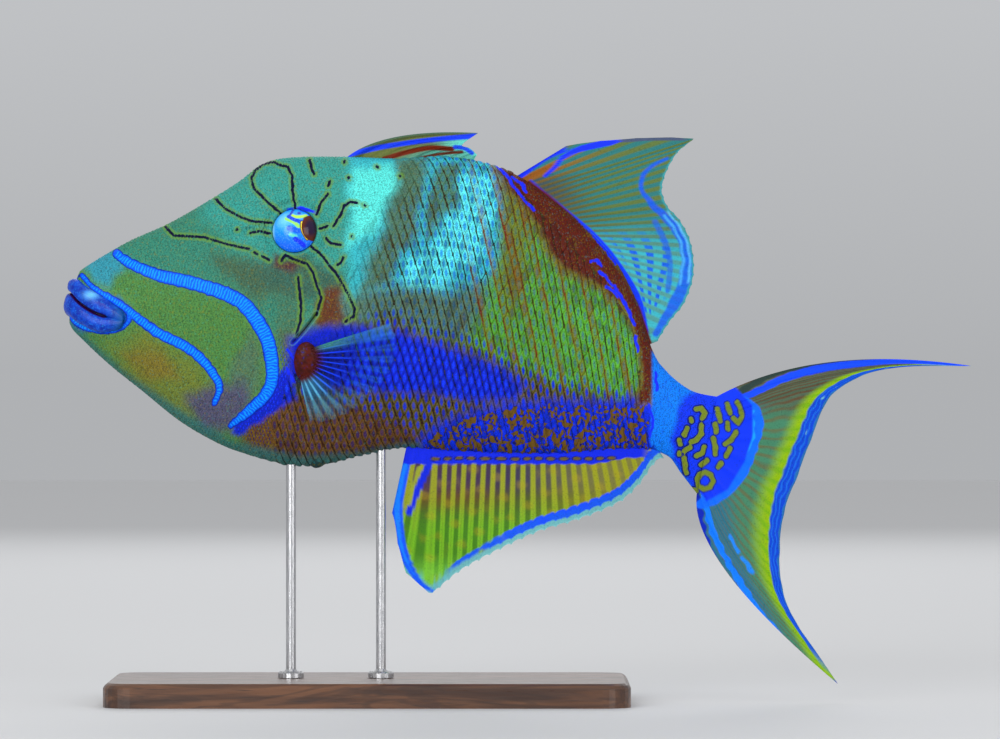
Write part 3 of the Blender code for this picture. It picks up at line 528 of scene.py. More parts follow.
peduncle = [(293.5, 175), (312.5, 165), (332.5, 161), (343.5, 141), (339.5, 111), (325.5, 97),
    (312.5, 101), (295, 122), (292.5, 131), (293.5, 151)]
tailBase = [(309.5, 151), (317.5, 155), (335, 158), (343.5, 149), (346, 138.5), (340, 120),
    (331.5, 106), (320.5, 100), (305.5, 121), (304.5, 131)]
markColours = {
    "cheek": ((80, 136, 68), (42, 80, 38)),
    "net": ((96, 84, 36), (16, 48, 214), (52, 26, 14)),
    "blue": ((14, 34, 204), (20, 58, 250), (10, 12, 84)),
    "wormBand": ((12, 44, 226), (14, 50, 236), (12, 24, 130)),
    "purple": ((108, 72, 30), (64, 38, 92), (62, 30, 16)),
    "bellyRim": ((52, 116, 116), (26, 62, 66)),
    "redEdge": ((120, 92, 28), (96, 84, 46), (84, 40, 12)),
    "red": ((96, 26, 12), (84, 22, 12), (60, 14, 8)),
    "peduncle": ((14, 126, 248), (10, 70, 210)),
    "tailBase": ((14, 54, 240), (8, 30, 180)),
    "rustGroove": (132, 44, 12),
}

# Rows of large scales: their long edges fall back at one angle and rise back at the other.
scaleRows = {
    "falling": (2.29, -5.0),     # step along the unwrap from scale to scale, down and back
    "rising": (1.61, 4.84),      # the other way
    "fill": (0.515, 0.475),      # half sizes as shares of the steps
    "rustEvery": 3,              # falling rows from one rusty groove to the next
    "start": [(173.5, 286), (166.5, 261), (154.5, 243.5), (146.5, 226), (142.5, 201), (133.5, 181),
        (112.5, 161), (106.5, 141), (104.5, 111)],
    "end": [(217.5, 276), (227.5, 256), (240, 242), (255, 226), (270, 210), (281.5, 192), (287.5, 175),
        (287.5, 156), (290.5, 136), (301.5, 116)],
}


def fallingRow(s, a):            # which falling row of scales a spot on the unwrap is in
    (fs, fa), (rs, ra) = scaleRows["falling"], scaleRows["rising"]
    return (a * fs - s * fa) / (fs * ra - rs * fa)


def threeTones(colours):         # rim, centre and groove, where two colours mean one for rim and centre
    return colours[0], colours[-2], colours[-1]


def markings(x, z):
    row = fallingRow(*toBody(x, z))
    shakeX = x + wobble(x, z, 23) * 2.2 + wobble(x, z, 7) * 0.8
    shakeZ = z + wobble(z, x, 21) * 2.2 + wobble(z, x, 6) * 0.7
    count = len(x)
    rim, centre, groove = (np.tile(rgb(tone), (count, 1)) for tone in threeTones(markColours["cheek"]))

    def lay(weight, colours, centreWeight=None):
        shares = weight, weight if centreWeight is None else centreWeight, weight
        for layer, colour, share in zip((rim, centre, groove), threeTones(colours), shares):
            layer += (rgb(colour) - layer) * share[:, None]

    for _, soft, outline, *colours in paintAreas:
        field = areaField(shakeX, shakeZ, outline)
        lay(smoothStep(field, soft * 0.5, -soft * 0.5), colours)
    rust = smoothStep(np.abs((row / scaleRows["rustEvery"]) % 1 - 0.5), 0.2, 0.1) * smoothStep(x, 195, 212)
    groove += (rgb(markColours["rustGroove"]) - groove) * (rust * 0.85)[:, None]
    rim += (rgb(markColours["rustGroove"]) - rim) * (rust * 0.4)[:, None]

    edgeX, edgeZ = x + wobble(x, z, 9) * 0.9, z + wobble(z, x, 8) * 0.9
    edge = areaField(edgeX, edgeZ, lowerBlue)
    lay(smoothStep(edge, 5.0, -5.0), markColours["net"], smoothStep(edge, 9.0, 0.5))
    lay(smoothStep(areaField(edgeX, edgeZ, blueHeart), 2.0, -5.0), markColours["blue"])
    purple = areaField(shakeX, shakeZ, purpleBelly)
    lay(smoothStep(purple, 5.0, -6.0), markColours["purple"], smoothStep(purple, 2.0, -7.0))
    worm = smoothStep(areaField(edgeX, edgeZ, wormBand), 4.0, -4.0)
    lay(worm, markColours["wormBand"])
    lay(smoothStep(areaField(edgeX, edgeZ, bandFoot), 1.5, -2.0), markColours["blue"])
    rimLine = strokeField(x, z, bellyRim, 0.0)[0]
    lay(smoothStep(rimLine, 6.5, 1.0) * 0.85 * (1 - worm), markColours["bellyRim"])
    strip = areaField(x + wobble(x, z, 6) * 0.7, z + wobble(z, x, 7) * 0.7, redStrip)
    broad = smoothStep(z, 180, 215)          # the strip's edge is softer where it is broad
    lay(smoothStep(strip / (0.45 + 0.55 * broad), 6.5, 1.5) * 0.75, markColours["redEdge"])
    lay(smoothStep(strip, 0.6 + 1.6 * broad, -1.2), markColours["red"])
    stalk = areaField(x, z, peduncle)
    lay(smoothStep(stalk, 1.0, -0.8), markColours["peduncle"])
    root = areaField(x + wobble(x, z, 8) * 0.8, z, tailBase)
    lay(smoothStep(root, 3.5, -0.5), markColours["tailBase"])

    band, run = np.full(count, farAway), np.zeros(count)
    for line, width in bandMarks:
        field, along = strokeField(x + wobble(x, z, 5) * 0.25, z + wobble(z, x, 4.3) * 0.3,
                                   traced(line, 5), width)
        run = np.where(field < band, along, run)
        band = np.minimum(band, field)
    dark = nearestStroke(x + wobble(x, z, 4) * 0.25, z, darkMarks, 0.62)
    streak = nearestStroke(x + wobble(x, z, 5) * 0.5, z, blueStreaks, 0.8)
    spots = nearestStroke(x + wobble(x, z, 4) * 0.3, z, tailSpots, 1.3)
    gill = strokeField(x, z, gillLine, 0.0)[0]
    startX, startZ = np.array(scaleRows["start"]).T
    fresh = smoothStep(x - np.interp(z, startZ[::-1], startX[::-1]) + wobble(x, z, 15) * 3, 22, 2)
    fade = (fresh * smoothStep(z, 165, 185))[:, None]
    groove += (rim * 0.7 - groove) * fade
    centre += (rim * 0.85 - centre) * fade
    values = {"band": band, "bandRun": run, "dark": dark, "streak": streak, "tailSpot": spots,
              "gill": gill, "worm": worm * smoothStep(x, 296, 290)}
    return rim, centre, groove, values


def layMarkings(f, base):        # crisp markings over a base colour, for skin and scales alike
    band, run, dark = f.value("band"), f.value("bandRun"), f.value("dark")
    ragged = f.math("MULTIPLY_ADD", f.noise(1.6, 2), 0.9, -0.45)
    worms = f.math("MULTIPLY_ADD", f.value("worm"), 0.6, -0.6)
    blots = f.math("ADD", f.noise(3.0, 1, 1.1, (1.0, 0.4, 0.8)), worms)
    base = f.mix(f.step(blots, 0.49, 0.52), base, (10, 16, 100))
    base = f.mix(f.step(blots, 0.525, 0.55), base, (104, 78, 28))
    streak = f.math("ADD", f.value("streak"), ragged)
    base = f.mix(f.step(streak, 0.25, -0.35), base, (22, 44, 240))
    spot = f.math("MULTIPLY_ADD", ragged, 0.5, f.value("tailSpot"))
    base = f.mix(f.step(spot, 0.95, 0.4), base, (6, 22, 110))
    base = f.mix(f.step(spot, 0.12, -0.2), base, (112, 128, 36))

    halo = f.times(f.step(dark, 1.9, 0.5), f.step(f.noise(1.7, 2), 0.28, 0.5))
    base = f.mix(f.times(halo, 0.62), base, (104, 146, 36))
    base = f.mix(f.step(f.math("MULTIPLY_ADD", ragged, 0.7, dark), 0.25, -0.12), base, (8, 14, 50))

    wrinkle = f.math("SINE", f.math("MULTIPLY_ADD", run, 4.2, f.times(f.noise(2.6, 3), 10.0)))
    azure = f.mix(f.step(wrinkle, -1.0, 1.5), (4, 88, 234), (16, 158, 255))
    azure = f.mix(f.step(band, -1.2, -0.1), azure, (4, 76, 232))
    edge = f.math("MULTIPLY_ADD", ragged, 1.2, band)
    base = f.mix(f.step(edge, 0.55, 0.15), base, (6, 30, 140))
    base = f.mix(f.step(edge, 0.1, -0.25), base, azure)
    gill = f.value("gill")
    paleEdge = f.step(f.math("ABSOLUTE", f.math("SUBTRACT", gill, 1.4)), 0.5, 0.1)
    base = f.mix(f.times(paleEdge, 0.3), base, (96, 160, 150))
    # painted shade: the gill slit's groove is painted nearly black
    base = f.mix(f.times(f.step(gill, 0.6, 0.15), 0.85), base, (16, 18, 34))
    return base, f.times(wrinkle, f.step(band, 0.0, -0.6))


def speckle(f, base, coarse):    # the skin's grain: dark flecks, and olive and pale ones where it isn't blue
    fine, flecks = f.noise(0.62, 2), f.noise(1.15, 3)
    plain = f.times(f.step(f.blue(base), 0.5, 0.2), coarse)
    base = f.mix(f.times(f.step(fine, 0.56, 0.34), 0.5), base, (10, 36, 36))
    base = f.mix(f.times(f.step(flecks, 0.55, 0.7), plain), base, (138, 126, 20))
    pale = f.times(f.step(flecks, 0.42, 0.28), f.times(plain, 0.6))
    return f.mix(pale, base, (44, 176, 176)), fine


def skinFinish():
    f = Finish("fishSkin", IOR=1.4, Specular_IOR_Level=0.1, Coat_Weight=0.02, Coat_Roughness=0.25)
    base, grain = speckle(f, f.colour("paint"), 0.42)
    mottle = f.times(f.step(f.noise(7, 4), 0.5, 0.75), f.step(f.blue(base), 0.5, 0.2))
    base = f.mix(f.times(mottle, 0.2), base, (104, 136, 34))
    base, wrinkle = layMarkings(f, base)
    height = f.math("ADD", f.times(grain, 0.5), f.times(wrinkle, 0.25))
    return f.wire(Base_Color=base, Roughness=f.step(f.noise(3, 3), -0.9, 1.7),
                  Normal=f.bump(height, 0.25, 0.6))


def scaleFinish():
    f = Finish("fishScales", IOR=1.4, Specular_IOR_Level=0.11, Coat_Weight=0.02, Coat_Roughness=0.22)
    rim, tone = f.value("rim"), f.value("tone")
    grain = f.noise(0.8, 3)
    heart = f.math("MULTIPLY_ADD", grain, 0.34, rim)
    base = f.mix(f.step(heart, 0.5, 0.86), f.colour("spot"), f.colour("paint"))
    base = f.mix(f.times(f.step(tone, 0.55, 1.0), 0.35), base, f.colour("paint"))
    base = f.mix(f.times(f.step(tone, 0.45, 0.0), 0.4), base, f.colour("groove"))
    base = speckle(f, base, 0.24)[0]
    base = f.mix(f.step(rim, 0.93, 1.02), base, f.colour("groove"))
    base = layMarkings(f, base)[0]
    return f.wire(Base_Color=base, Roughness=f.step(f.noise(2, 2), -0.9, 1.7),
                  Normal=f.bump(grain, 0.16, 0.6))


eyes = {
    "at": (115.5, 235.2),
    "radius": 11.25,             # across the face
    "halfDepth": 7.7,            # in and out of the head
    "sunk": 2.5,
    "pupil": (8.5, 0.9, 4.4, 6.5),      # back, up, half width, half height on the ball
    "iris": [                    # strokes on the ball: places back and up from its middle, half width
        ((150, 222, 96), 0.9, [(-3.6, 5.1), (-1.2, 3.9), (1.0, 2.5), (2.5, 0.9)]),
        ((176, 226, 70), 0.85, [(-1.3, 7.0), (1.0, 6.1), (4.0, 6.3), (5.9, 7.0)]),
        ((12, 58, 236), 0.9, [(-2.6, 6.3), (0.6, 4.4), (4.0, 3.3)]),
        ((10, 40, 190), 0.6, [(-0.6, 10.1), (-1.3, 8.2), (-2.6, 6.4)]),
        ((12, 50, 226), 0.9, [(3.6, 10.4), (6.3, 9.6), (8.2, 7.8)]),
        ((14, 40, 190), 0.75, [(2.4, 8.2), (2.7, 8.3)]),
        ((14, 92, 250), 1.3, [(-2.1, 0.2), (0.2, -0.6), (2.5, -1.4)]),
        ((90, 210, 190), 0.8, [(-1.6, -3.1), (0.0, -3.6), (1.2, -4.0)]),
        ((8, 44, 252), 1.1, [(1.0, -5.2), (2.9, -6.4), (4.8, -7.9)]),
        ((96, 48, 22), 1.7, [(6.3, 4.6), (8.4, 5.6), (10.4, 4.2)]),
    ],
    "gold": [(4.2, 3.2), (4.1, 0.6), (4.9, -2.2), (6.6, -4.9)],
}
nostrils = [(87.0, 236.0), (92.6, 236.6)]
pelvicAt = (126.0, 118.6)

mouth = {
    "line": [(3.2, 0.0, 4.6), (5.4, 5.8, 3.4), (9.6, 9.4, 0.4), (16.0, 12.0, -2.3), (21.0, 13.4, -3.4),
             (27.0, 14.8, -3.9), (33.0, 16.2, -4.2)],
    "halfHeights": {1: (3.5, 4.9), -1: (6.0, 4.6)},
    "halfDepth": 4.2,
    "parting": 0.2,
}

skin = {
    "around": 440,
    "rows": [(body["snoutStart"], 92, 100), (92, 134, 76), (134, 300, 170), (300, 332.5, 35)],
    "underScales": 0.35,         # how far the skin lies under the solids' surface
    "noseTurns": (1.2, 0.8, 0.4, 0.0),
    "noseReach": 2.0,
}


def skinShape(points, values):   # how far the skin stands out, in millimetres
    x, y, z = points.T
    out = np.full(len(x), -skin["underScales"])
    r = np.hypot(x - eyes["at"][0], z - eyes["at"][1])          # socket and rim of the eye
    out -= 7.5 * smoothStep(r, 11.4, 8.6)
    out += 1.15 * np.exp(-((r - 12.3) / 0.9) ** 2) - 0.45 * np.exp(-((r - 15.0) / 1.1) ** 2)
    furrow = strokeField(x, z, [(83.5, 235), (93.5, 236.5), (101.5, 239)], 0.0)[0]
    out -= 0.5 * np.exp(-(furrow / 1.8) ** 2)
    gill = values["gill"]
    out += 0.5 * np.exp(-((gill - 1.9) / 0.9) ** 2) - 1.8 * smoothStep(gill, 1.1, 0.2)
    out += 0.16 * smoothStep(values["band"], 0.5, -0.6)
    out -= 0.14 * smoothStep(values["dark"], 0.5, -0.3)
    for nx, nz in nostrils:
        hole = np.hypot(x - nx, z - nz)
        out += 0.5 * np.exp(-((hole - 1.5) / 0.5) ** 2) - 1.2 * smoothStep(hole, 1.1, 0.5)
    knob = np.hypot((x - pelvicAt[0]) / 4.5, (z - pelvicAt[1]) / 3.0)
    out += 1.5 * smoothStep(knob, 1.0, 0.2) + 0.06 * wobble(x * 5, z * 5, 6)
    pleats = smoothStep(np.hypot((x - 112) / 26, (z - 124) / 13), 1.0, 0.3)
    return out + 0.22 * pleats * np.sin((x * 0.9 + z * 0.45) * 1.6)


def makeSkin(material):
    parts = [np.linspace(*part, endpoint=False) for part in skin["rows"]]
    s = np.concatenate([*parts, [skin["rows"][-1][1]]])
    angles = np.linspace(0, 2 * math.pi, skin["around"], endpoint=False)
    grid = bodyPoint(s[:, None], angles[None, :])
    normals = bodyNormal(s[:, None], angles[None, :])
    points = grid.reshape(-1, 3)
    rim, centre, groove, values = markings(points[:, 0], points[:, 2])
    points = points + normals.reshape(-1, 3) * skinShape(points, values)[:, None]
    large = inLargeScales(points[:, 0], points[:, 2], 0.0)[:, None]
    paint = rim * (1 - large) + groove * large
    rings, around = len(s), skin["around"]

    nose = []                    # rounded front under the lips, and the flat end inside the tail
    middle = points[:around].mean(0)
    ahead = np.array([-cosUp, 0, sinUp])
    for turn in skin["noseTurns"]:
        nose.append(middle + (points[:around] - middle) * math.sin(turn)
                    + ahead * skin["noseReach"] * math.cos(turn))
    points = np.concatenate([*nose[::-1], points])
    extra = len(nose)
    paint = np.concatenate([np.tile(paint[:around], (extra, 1)), paint])
    values = {key: np.concatenate([np.tile(value[:around], extra), value]) for key, value in values.items()}
    faces = gridFaces(rings + extra, around, closed=True)
    last = (rings + extra - 1) * around
    end = np.array([[last + (k + 1) % around, last + k, len(points)] for k in range(around)])
    points = np.concatenate([points, points[last:].mean(0)[None]])
    paint = np.concatenate([paint, paint[-1:]])
    values = {key: np.append(value, value[-1]) for key, value in values.items()}
    piece = addMesh("skin", points, [faces[:, ::-1], end[:, ::-1]], material, values, {"paint": paint})
    ridesAs(piece, "skin", "head", "trunk", "tail_peduncle")
    print("skin made with", len(points), "points")


# Scales: low domed plates that follow the skin, large on the flank and fine elsewhere

coat = {
    "fineFalling": (0.95, -2.05),
    "fineRising": (0.72, 2.0),
    "largeLevels": [(0.0, 0.62), (0.45, 0.56), (0.8, 0.36), (1.0, 0.08), (1.06, -0.3)],
    "fineLevels": [(0.0, 0.12), (0.75, 0.07), (1.05, -0.2)],
    "largeCorners": 12,
    "fineCorners": 6,
    "largeShift": 0.06,          # how unevenly the scales stand, as a share of a step
    "fineShift": 0.14,
    "overlap": 1.08,
    "largeClear": (8.5, 12),     # half sizes of the bare patch at the pectoral fin
    "fineClear": (7.5, 11),
    "clearAt": (121, 170),
    "lipLine": [(-2.5, 206), (15, 201), (28.5, 195)],
    "lipGap": 9.5,               # bare widths round lips, bands, gill and eye
    "bandGap": 0.9,
    "gillGap": 2.0,
    "eyeGap": 13.8,
    "seam": -2.2,                # how far fine scales reach in among the large ones
}


def inLargeScales(x, z, margin):
    startX, startZ = np.array(scaleRows["start"]).T
    endX, endZ = np.array(scaleRows["end"]).T
    first, last = np.interp(z, startZ[::-1], startX[::-1]), np.interp(z, endZ[::-1], endX[::-1])
    wave = wobble(z, x, 13) * 1.5
    return ((x > first + wave + margin) & (x < last - margin)).astype(float)


def scaleCentres(falling, rising, shift):
    # places on the unwrap in rows along both steps, a little uneven
    reach = np.arange(-260, 420)
    i, k = np.meshgrid(reach, reach, indexing="ij")
    s, a = i * falling[0] + k * rising[0], i * falling[1] + k * rising[1]
    up, down = np.interp(s, unwrapS, unwrapUp), np.interp(s, unwrapS, unwrapDown)
    keep = (s > 12) & (s < 326) & (a < up - 0.9) & (a > 0.9 - down)
    s, a = s[keep], a[keep]
    return s + rng.normal(0, shift, len(s)) * falling[0], a + rng.normal(0, shift / 2, len(a)) * rising[1]


def placeAt(s, a, side):
    angle = angleAt(s, a)
    point, normal = bodyPoint(s, angle), bodyNormal(s, angle)
    point[..., 1] *= -side
    normal[..., 1] *= -side
    return point, normal


def addScales(name, side, s, a, steps, levels, corners, material):
    # each scale is a stack of rings round its middle: (share of its size, height)
    (fs, fa), (rs, ra) = steps
    turn = np.linspace(0, 2 * math.pi, corners, endpoint=False)
    p = np.sign(np.cos(turn)) * np.abs(np.cos(turn)) ** 0.5 * scaleRows["fill"][0]
    q = np.sign(np.sin(turn)) * np.abs(np.sin(turn)) ** 0.5 * scaleRows["fill"][1]
    p *= coat["overlap"]         # neighbours along a row lie over each other's ends
    wide, long = np.abs(q / scaleRows["fill"][1]) ** 3, np.abs(p / scaleRows["fill"][0]) ** 3
    ring, relief = (wide + 0.5 * long) ** (1 / 3), (wide + 0.12 * long) ** (1 / 3)
    size = rng.uniform(0.93, 1.04, len(s))
    offS, offA, heights, shares = [np.zeros(1)], [np.zeros(1)], [levels[0][1]], [0.0]
    for share, height in levels[1:]:
        offS.append(share * (p * fs + q * rs))
        offA.append(share * (p * fa + q * ra))
        shares += list(share * ring)
        if share > 1:
            heights += [height] * corners
        else:
            heights += list(np.interp(share * relief, *np.array(levels[:-1]).T))
    offS, offA = np.concatenate(offS), np.concatenate(offA)
    heights, shares = np.array(heights), np.array(shares)
    sAll, aAll = s[:, None] + size[:, None] * offS, a[:, None] + size[:, None] * offA
    point, normal = placeAt(sAll, aAll, side)
    lean = 0.2 * offS / max(fs, rs) * rng.uniform(0.4, 1.6, len(s))[:, None]
    lift = heights * rng.uniform(0.85, 1.15, len(s))[:, None] + lean - skin["underScales"]
    point = (point + normal * lift[..., None]).reshape(-1, 3)
    count, each = len(s), len(offS)
    k = np.arange(corners)
    beside = (k + 1) % corners
    fan = np.stack([np.zeros(corners, int), 1 + k, 1 + beside], 1)
    strips = [np.stack([1 + r * corners + k, 1 + (r + 1) * corners + k, 1 + (r + 1) * corners + beside,
                        1 + r * corners + beside], 1) for r in range(len(levels) - 2)]
    starts = (np.arange(count) * each)[:, None, None]
    turned = 1 if side < 0 else -1
    faces = [(starts + part[None, :, ::turned]).reshape(-1, part.shape[1])
             for part in (fan, np.concatenate(strips))]
    rim, centre, groove, values = markings(point[:, 0], point[:, 2])
    values["rim"] = np.tile(shares, count)
    values["tone"] = np.repeat(rng.uniform(0, 1, count), each)
    patch = 0.003 / max(np.ptp(offS), np.ptp(offA))
    uv = (unwrapUv(s, a)[:, None, :] + np.stack([offS, offA], -1) * patch).reshape(-1, 2)
    piece = addMesh(name, point, faces, material, values,
                    {"paint": rim, "spot": centre, "groove": groove}, uv)
    ridesAs(piece, "skin")
    print(name, "has", count, "scales")


def outsideClear(x, z, size):
    return np.hypot((x - coat["clearAt"][0]) / size[0], (z - coat["clearAt"][1]) / size[1]) > 1


def makeScales(material):
    largeSteps = (scaleRows["falling"], scaleRows["rising"])
    fineSteps = (coat["fineFalling"], coat["fineRising"])
    largeS, largeA = scaleCentres(*largeSteps, coat["largeShift"])
    fineS, fineA = scaleCentres(*fineSteps, coat["fineShift"])
    for side, word in ((-1, "left"), (1, "right")):
        point = placeAt(largeS, largeA, side)[0]
        x, z = point[:, 0], point[:, 2]
        keep = (inLargeScales(x, z, 0.0) > 0) & outsideClear(x, z, coat["largeClear"])
        addScales("large_scales_" + word, side, largeS[keep], largeA[keep], largeSteps,
                  coat["largeLevels"], coat["largeCorners"], material)
        point = placeAt(fineS, fineA, side)[0]
        x, z = point[:, 0], point[:, 2]
        values = markings(x, z)[3]
        keep = (inLargeScales(x, z, coat["seam"]) == 0) & outsideClear(x, z, coat["fineClear"])
        keep &= strokeField(x, z, coat["lipLine"], 0.0)[0] > coat["lipGap"]
        keep &= (values["band"] > coat["bandGap"]) & (values["gill"] > coat["gillGap"])
        keep &= np.hypot(x - eyes["at"][0], z - eyes["at"][1]) > coat["eyeGap"]
        addScales("fine_scales_" + word, side, fineS[keep], fineA[keep], fineSteps,
                  coat["fineLevels"], coat["fineCorners"], material)


# Eyes

def eyeFinish():
    f = Finish("eyeBall", IOR=1.4, Roughness=0.2, Specular_IOR_Level=0.2, Coat_Weight=0.3,
               Coat_Roughness=0.06)
    fleck = f.noise(0.7, 3)
    base = f.mix(f.times(f.step(fleck, 0.5, 0.7), 0.18), f.colour("paint"), (150, 235, 255))
    pupil, gold = f.value("pupil"), f.value("gold")
    ringTone = f.mix(f.step(fleck, 0.35, 0.65), (206, 170, 16), (255, 236, 90))
    base = f.mix(f.step(gold, 0.5, 0.1), base, (66, 74, 16))
    base = f.mix(f.step(gold, 0.0, -0.25), base, ringTone)
    dark = f.mix(f.step(pupil, -2.8, -0.4), (34, 14, 50), (86, 30, 8))
    base = f.mix(f.step(pupil, 0.15, -0.1), base, dark)
    return f.wire(Base_Color=base, Normal=f.bump(fleck, 0.06, 0.4))


def makeEye(name, side, material, node):
    back, up, outward = (np.array(axis) for axis in faceAxes(*eyes["at"], side))
    x, z = eyes["at"]
    centre = np.array([x, side * float(flankAt(x, z)), z]) - outward * eyes["sunk"]
    rings, around = 96, 160
    tilt = np.linspace(0.004, math.pi * 0.62, rings)[:, None]
    turn = np.linspace(0, 2 * math.pi, around, endpoint=False)[None, :]
    ex = (np.sin(tilt) * np.cos(turn) * eyes["radius"]).ravel()
    ez = (np.sin(tilt) * np.sin(turn) * eyes["radius"]).ravel() * -side
    deep = (np.cos(tilt) * np.ones_like(turn) * eyes["halfDepth"]).ravel()
    px, pz, halfX, halfZ = eyes["pupil"]
    share = np.hypot((ex - px) / halfX, (ez - pz) / halfZ)
    pupil = (share - 1) * min(halfX, halfZ)
    out = deep + 0.25 * smoothStep(share, 1.5, 0.6)
    points = centre + ex[:, None] * back + ez[:, None] * up + out[:, None] * outward
    paint = np.tile(rgb((10, 150, 252)), (len(ex), 1))

    def lay(weight, colour):
        paint[:] += (rgb(colour) - paint) * weight[:, None]
    # painted light on the ball: painted shade deepens its lower half, a painted highlight sits high at the
    # front, and a painted reflection runs along its front edge
    lay(smoothStep(ez, 2.0, -9.0), (6, 104, 252))
    lay(smoothStep(np.hypot(ex + 4.5, ez - 4.5), 6.5, 0.0) * 0.8, (120, 214, 248))
    lay(smoothStep(ex, -9.0, -10.9) * 0.8, (150, 222, 255))
    for colour, width, line in eyes["iris"]:
        curve = np.stack(curvePoint(line, np.linspace(0, 1, 14)), -1)
        lay(smoothStep(strokeField(ex, ez, curve, width)[0], 0.35, -0.25), colour)
    gold = strokeField(ex, ez, traced(eyes["gold"]), 0.6)[0]
    # painted shade: the ball's edge where it sinks into the socket is painted dark navy
    socketShade = (np.hypot(ex, ez) > eyes["radius"] * 0.97) & (deep < 2)
    paint[socketShade] = rgb((16, 22, 60))
    faces = gridFaces(rings, around, closed=True)
    cap = np.array([[k, (k + 1) % around, len(points)] for k in range(around)])
    points = np.concatenate([points, points[:around].mean(0)[None]])
    values = {"pupil": np.append(pupil, pupil[0]), "gold": np.append(gold, gold[0])}
    paint = np.concatenate([paint, paint[:1]])
    piece = addMesh(name, points, [faces, cap[:, ::-1]], material, values, {"paint": paint})
    ridesAs(piece, "eyes", node)


# Lips

def lipFinish():
    f = Finish("lipSkin", IOR=1.4, Specular_IOR_Level=0.16, Coat_Weight=0.14, Coat_Roughness=0.2)
    slitShade, tone, corner = f.value("slitShade"), f.noise(3.4, 3, 0.5), f.value("corner")
    base = f.mix(f.step(tone, 0.3, 0.7), (0, 38, 156), (2, 74, 200))
    base = f.mix(f.times(f.step(f.noise(0.9, 3), 0.52, 0.72), 0.35), base, (40, 150, 246))
    # painted highlight: a pale blue patch on the upper lip
    base = f.mix(f.times(f.value("lipHighlight"), 0.7), base, (120, 214, 255))
    base = f.mix(f.times(corner, 0.75), base, (22, 84, 128))
    # painted shade along the slit where the lips meet: dark blue, then dark purple at its deepest, none at
    # the joined corners
    slitShade = f.times(slitShade, f.step(corner, 0.9, 0.3))
    base = f.mix(f.step(slitShade, 0.25, 0.8), base, (10, 20, 120))
    base = f.mix(f.step(slitShade, 0.66, 0.95), base, (52, 8, 70))
    creases = f.noise(1.0, 3, 0.4, (0.5, 1, 1))
    return f.wire(Base_Color=base, Roughness=f.step(creases, -0.9, 2.2),
                  Normal=f.bump(creases, 0.3, 0.7))


def makeLip(name, up, material, node):
    line = [(s, -y, h) for s, y, h in mouth["line"][:0:-1]] + mouth["line"]
    steps, sides = 150, 40
    share = np.linspace(0, 1, steps + 1)
    before = np.stack(curvePoint(line, np.clip(share - 0.01, 0, 1)), -1)
    after = np.stack(curvePoint(line, np.clip(share + 0.01, 0, 1)), -1)
    ahead = after - before
    outward = np.stack([-ahead[:, 1], ahead[:, 0], ahead[:, 0] * 0], -1)
    outward /= np.linalg.norm(outward, axis=1, keepdims=True)
    off = np.abs(2 * share - 1)
    fullness = np.sqrt(np.clip(1 - off ** 4, 0, 1)) * 0.72 + 0.28
    inFront, atSide = mouth["halfHeights"][up]
    high = (inFront + (atSide - inFront) * np.minimum(off * 2.2, 1)) * fullness
    deep = mouth["halfDepth"] * (0.45 + 0.55 * fullness)
    lift = np.array([0, 0, 1])
    middle = np.stack(curvePoint(line, share), -1) - outward * (deep * 0.55)[:, None]
    meets = smoothStep(off, 0.72, 0.86)      # the lips join towards the corners of the mouth
    middle += lift * (up * (high + mouth["parting"] - 0.9 * meets))[:, None]
    turn = np.linspace(0, 2 * math.pi, sides, endpoint=False)
    inside = (-up * np.sin(turn) > 0)[None, :, None]
    pout = 1 + 0.04 * np.sin(turn * 2 + 0.6)[None, :] - 0.012 * np.sin(share * 150)[:, None] ** 2
    flat = [np.sign(wave) * np.abs(wave) ** 0.5 for wave in (np.sin(turn), np.cos(turn))]
    ring = (lift * (np.sin(turn)[None, :] * high[:, None] * pout)[..., None]
            + outward[:, None, :] * (np.cos(turn)[None, :] * deep[:, None] * pout)[..., None])
    square = (lift * (flat[0][None, :] * high[:, None])[..., None]
              + outward[:, None, :] * (flat[1][None, :] * deep[:, None])[..., None])
    ring = np.where(inside, ring + (square - ring) * 0.85, ring)
    spot = (middle[:, None, :] + ring).reshape(-1, 3)
    x, z = sideView(spot[:, 0], spot[:, 2])
    points = np.stack([x, spot[:, 1], z], -1)
    # painted shade: the lips darken towards the slit between them
    nearSlit = np.abs(spot[:, 2].reshape(steps + 1, sides) - (middle[:, 2] - up * high)[:, None])
    slitShade = smoothStep(nearSlit, 1.5, 0.2).ravel() * np.repeat(1 - meets, sides)
    # painted highlight on the upper lip, as a soft spot
    lipHighlight = np.exp(-((x - 14.0) / 3.6) ** 2 - ((z - 203.5) / 2.0) ** 2) * (up > 0)
    corner = smoothStep(x, 22, 31)
    ends = [np.arange(sides)[None, :], (steps * sides + np.arange(sides))[None, ::-1]]
    piece = addMesh(name, points, [gridFaces(steps + 1, sides, closed=True)[:, ::-1], *ends], material,
                    {"slitShade": slitShade, "lipHighlight": lipHighlight, "corner": corner})
    ridesAs(piece, "lips", node)


# Fins: two skins over a middle surface, with the rays raised in them

def rootOn(line, x, sink):       # place just inside the back or the belly, square to its slope
    above = line is body["backLine"]
    curve = topCurve if above else bottomCurve
    s = toBody(x, curveValue(line, x))[0]
    slope = curveValue(curve, s + 0.5) - curveValue(curve, s - 0.5)
    off = -sink * np.sqrt(1 + slope * slope)
    return sideView(s, curveValue(curve, s) + (off if above else -off))


def rayShape(phase, v, spread):  # 1 on a ray and 0 between; each ray forks towards the edge
    fork = spread * smoothStep(v, 0.35, 1.0)
    ridge = np.maximum(np.cos(2 * math.pi * (phase - fork)), np.cos(2 * math.pi * (phase + fork)))
    return np.clip(ridge, 0, 1) ** 1.6


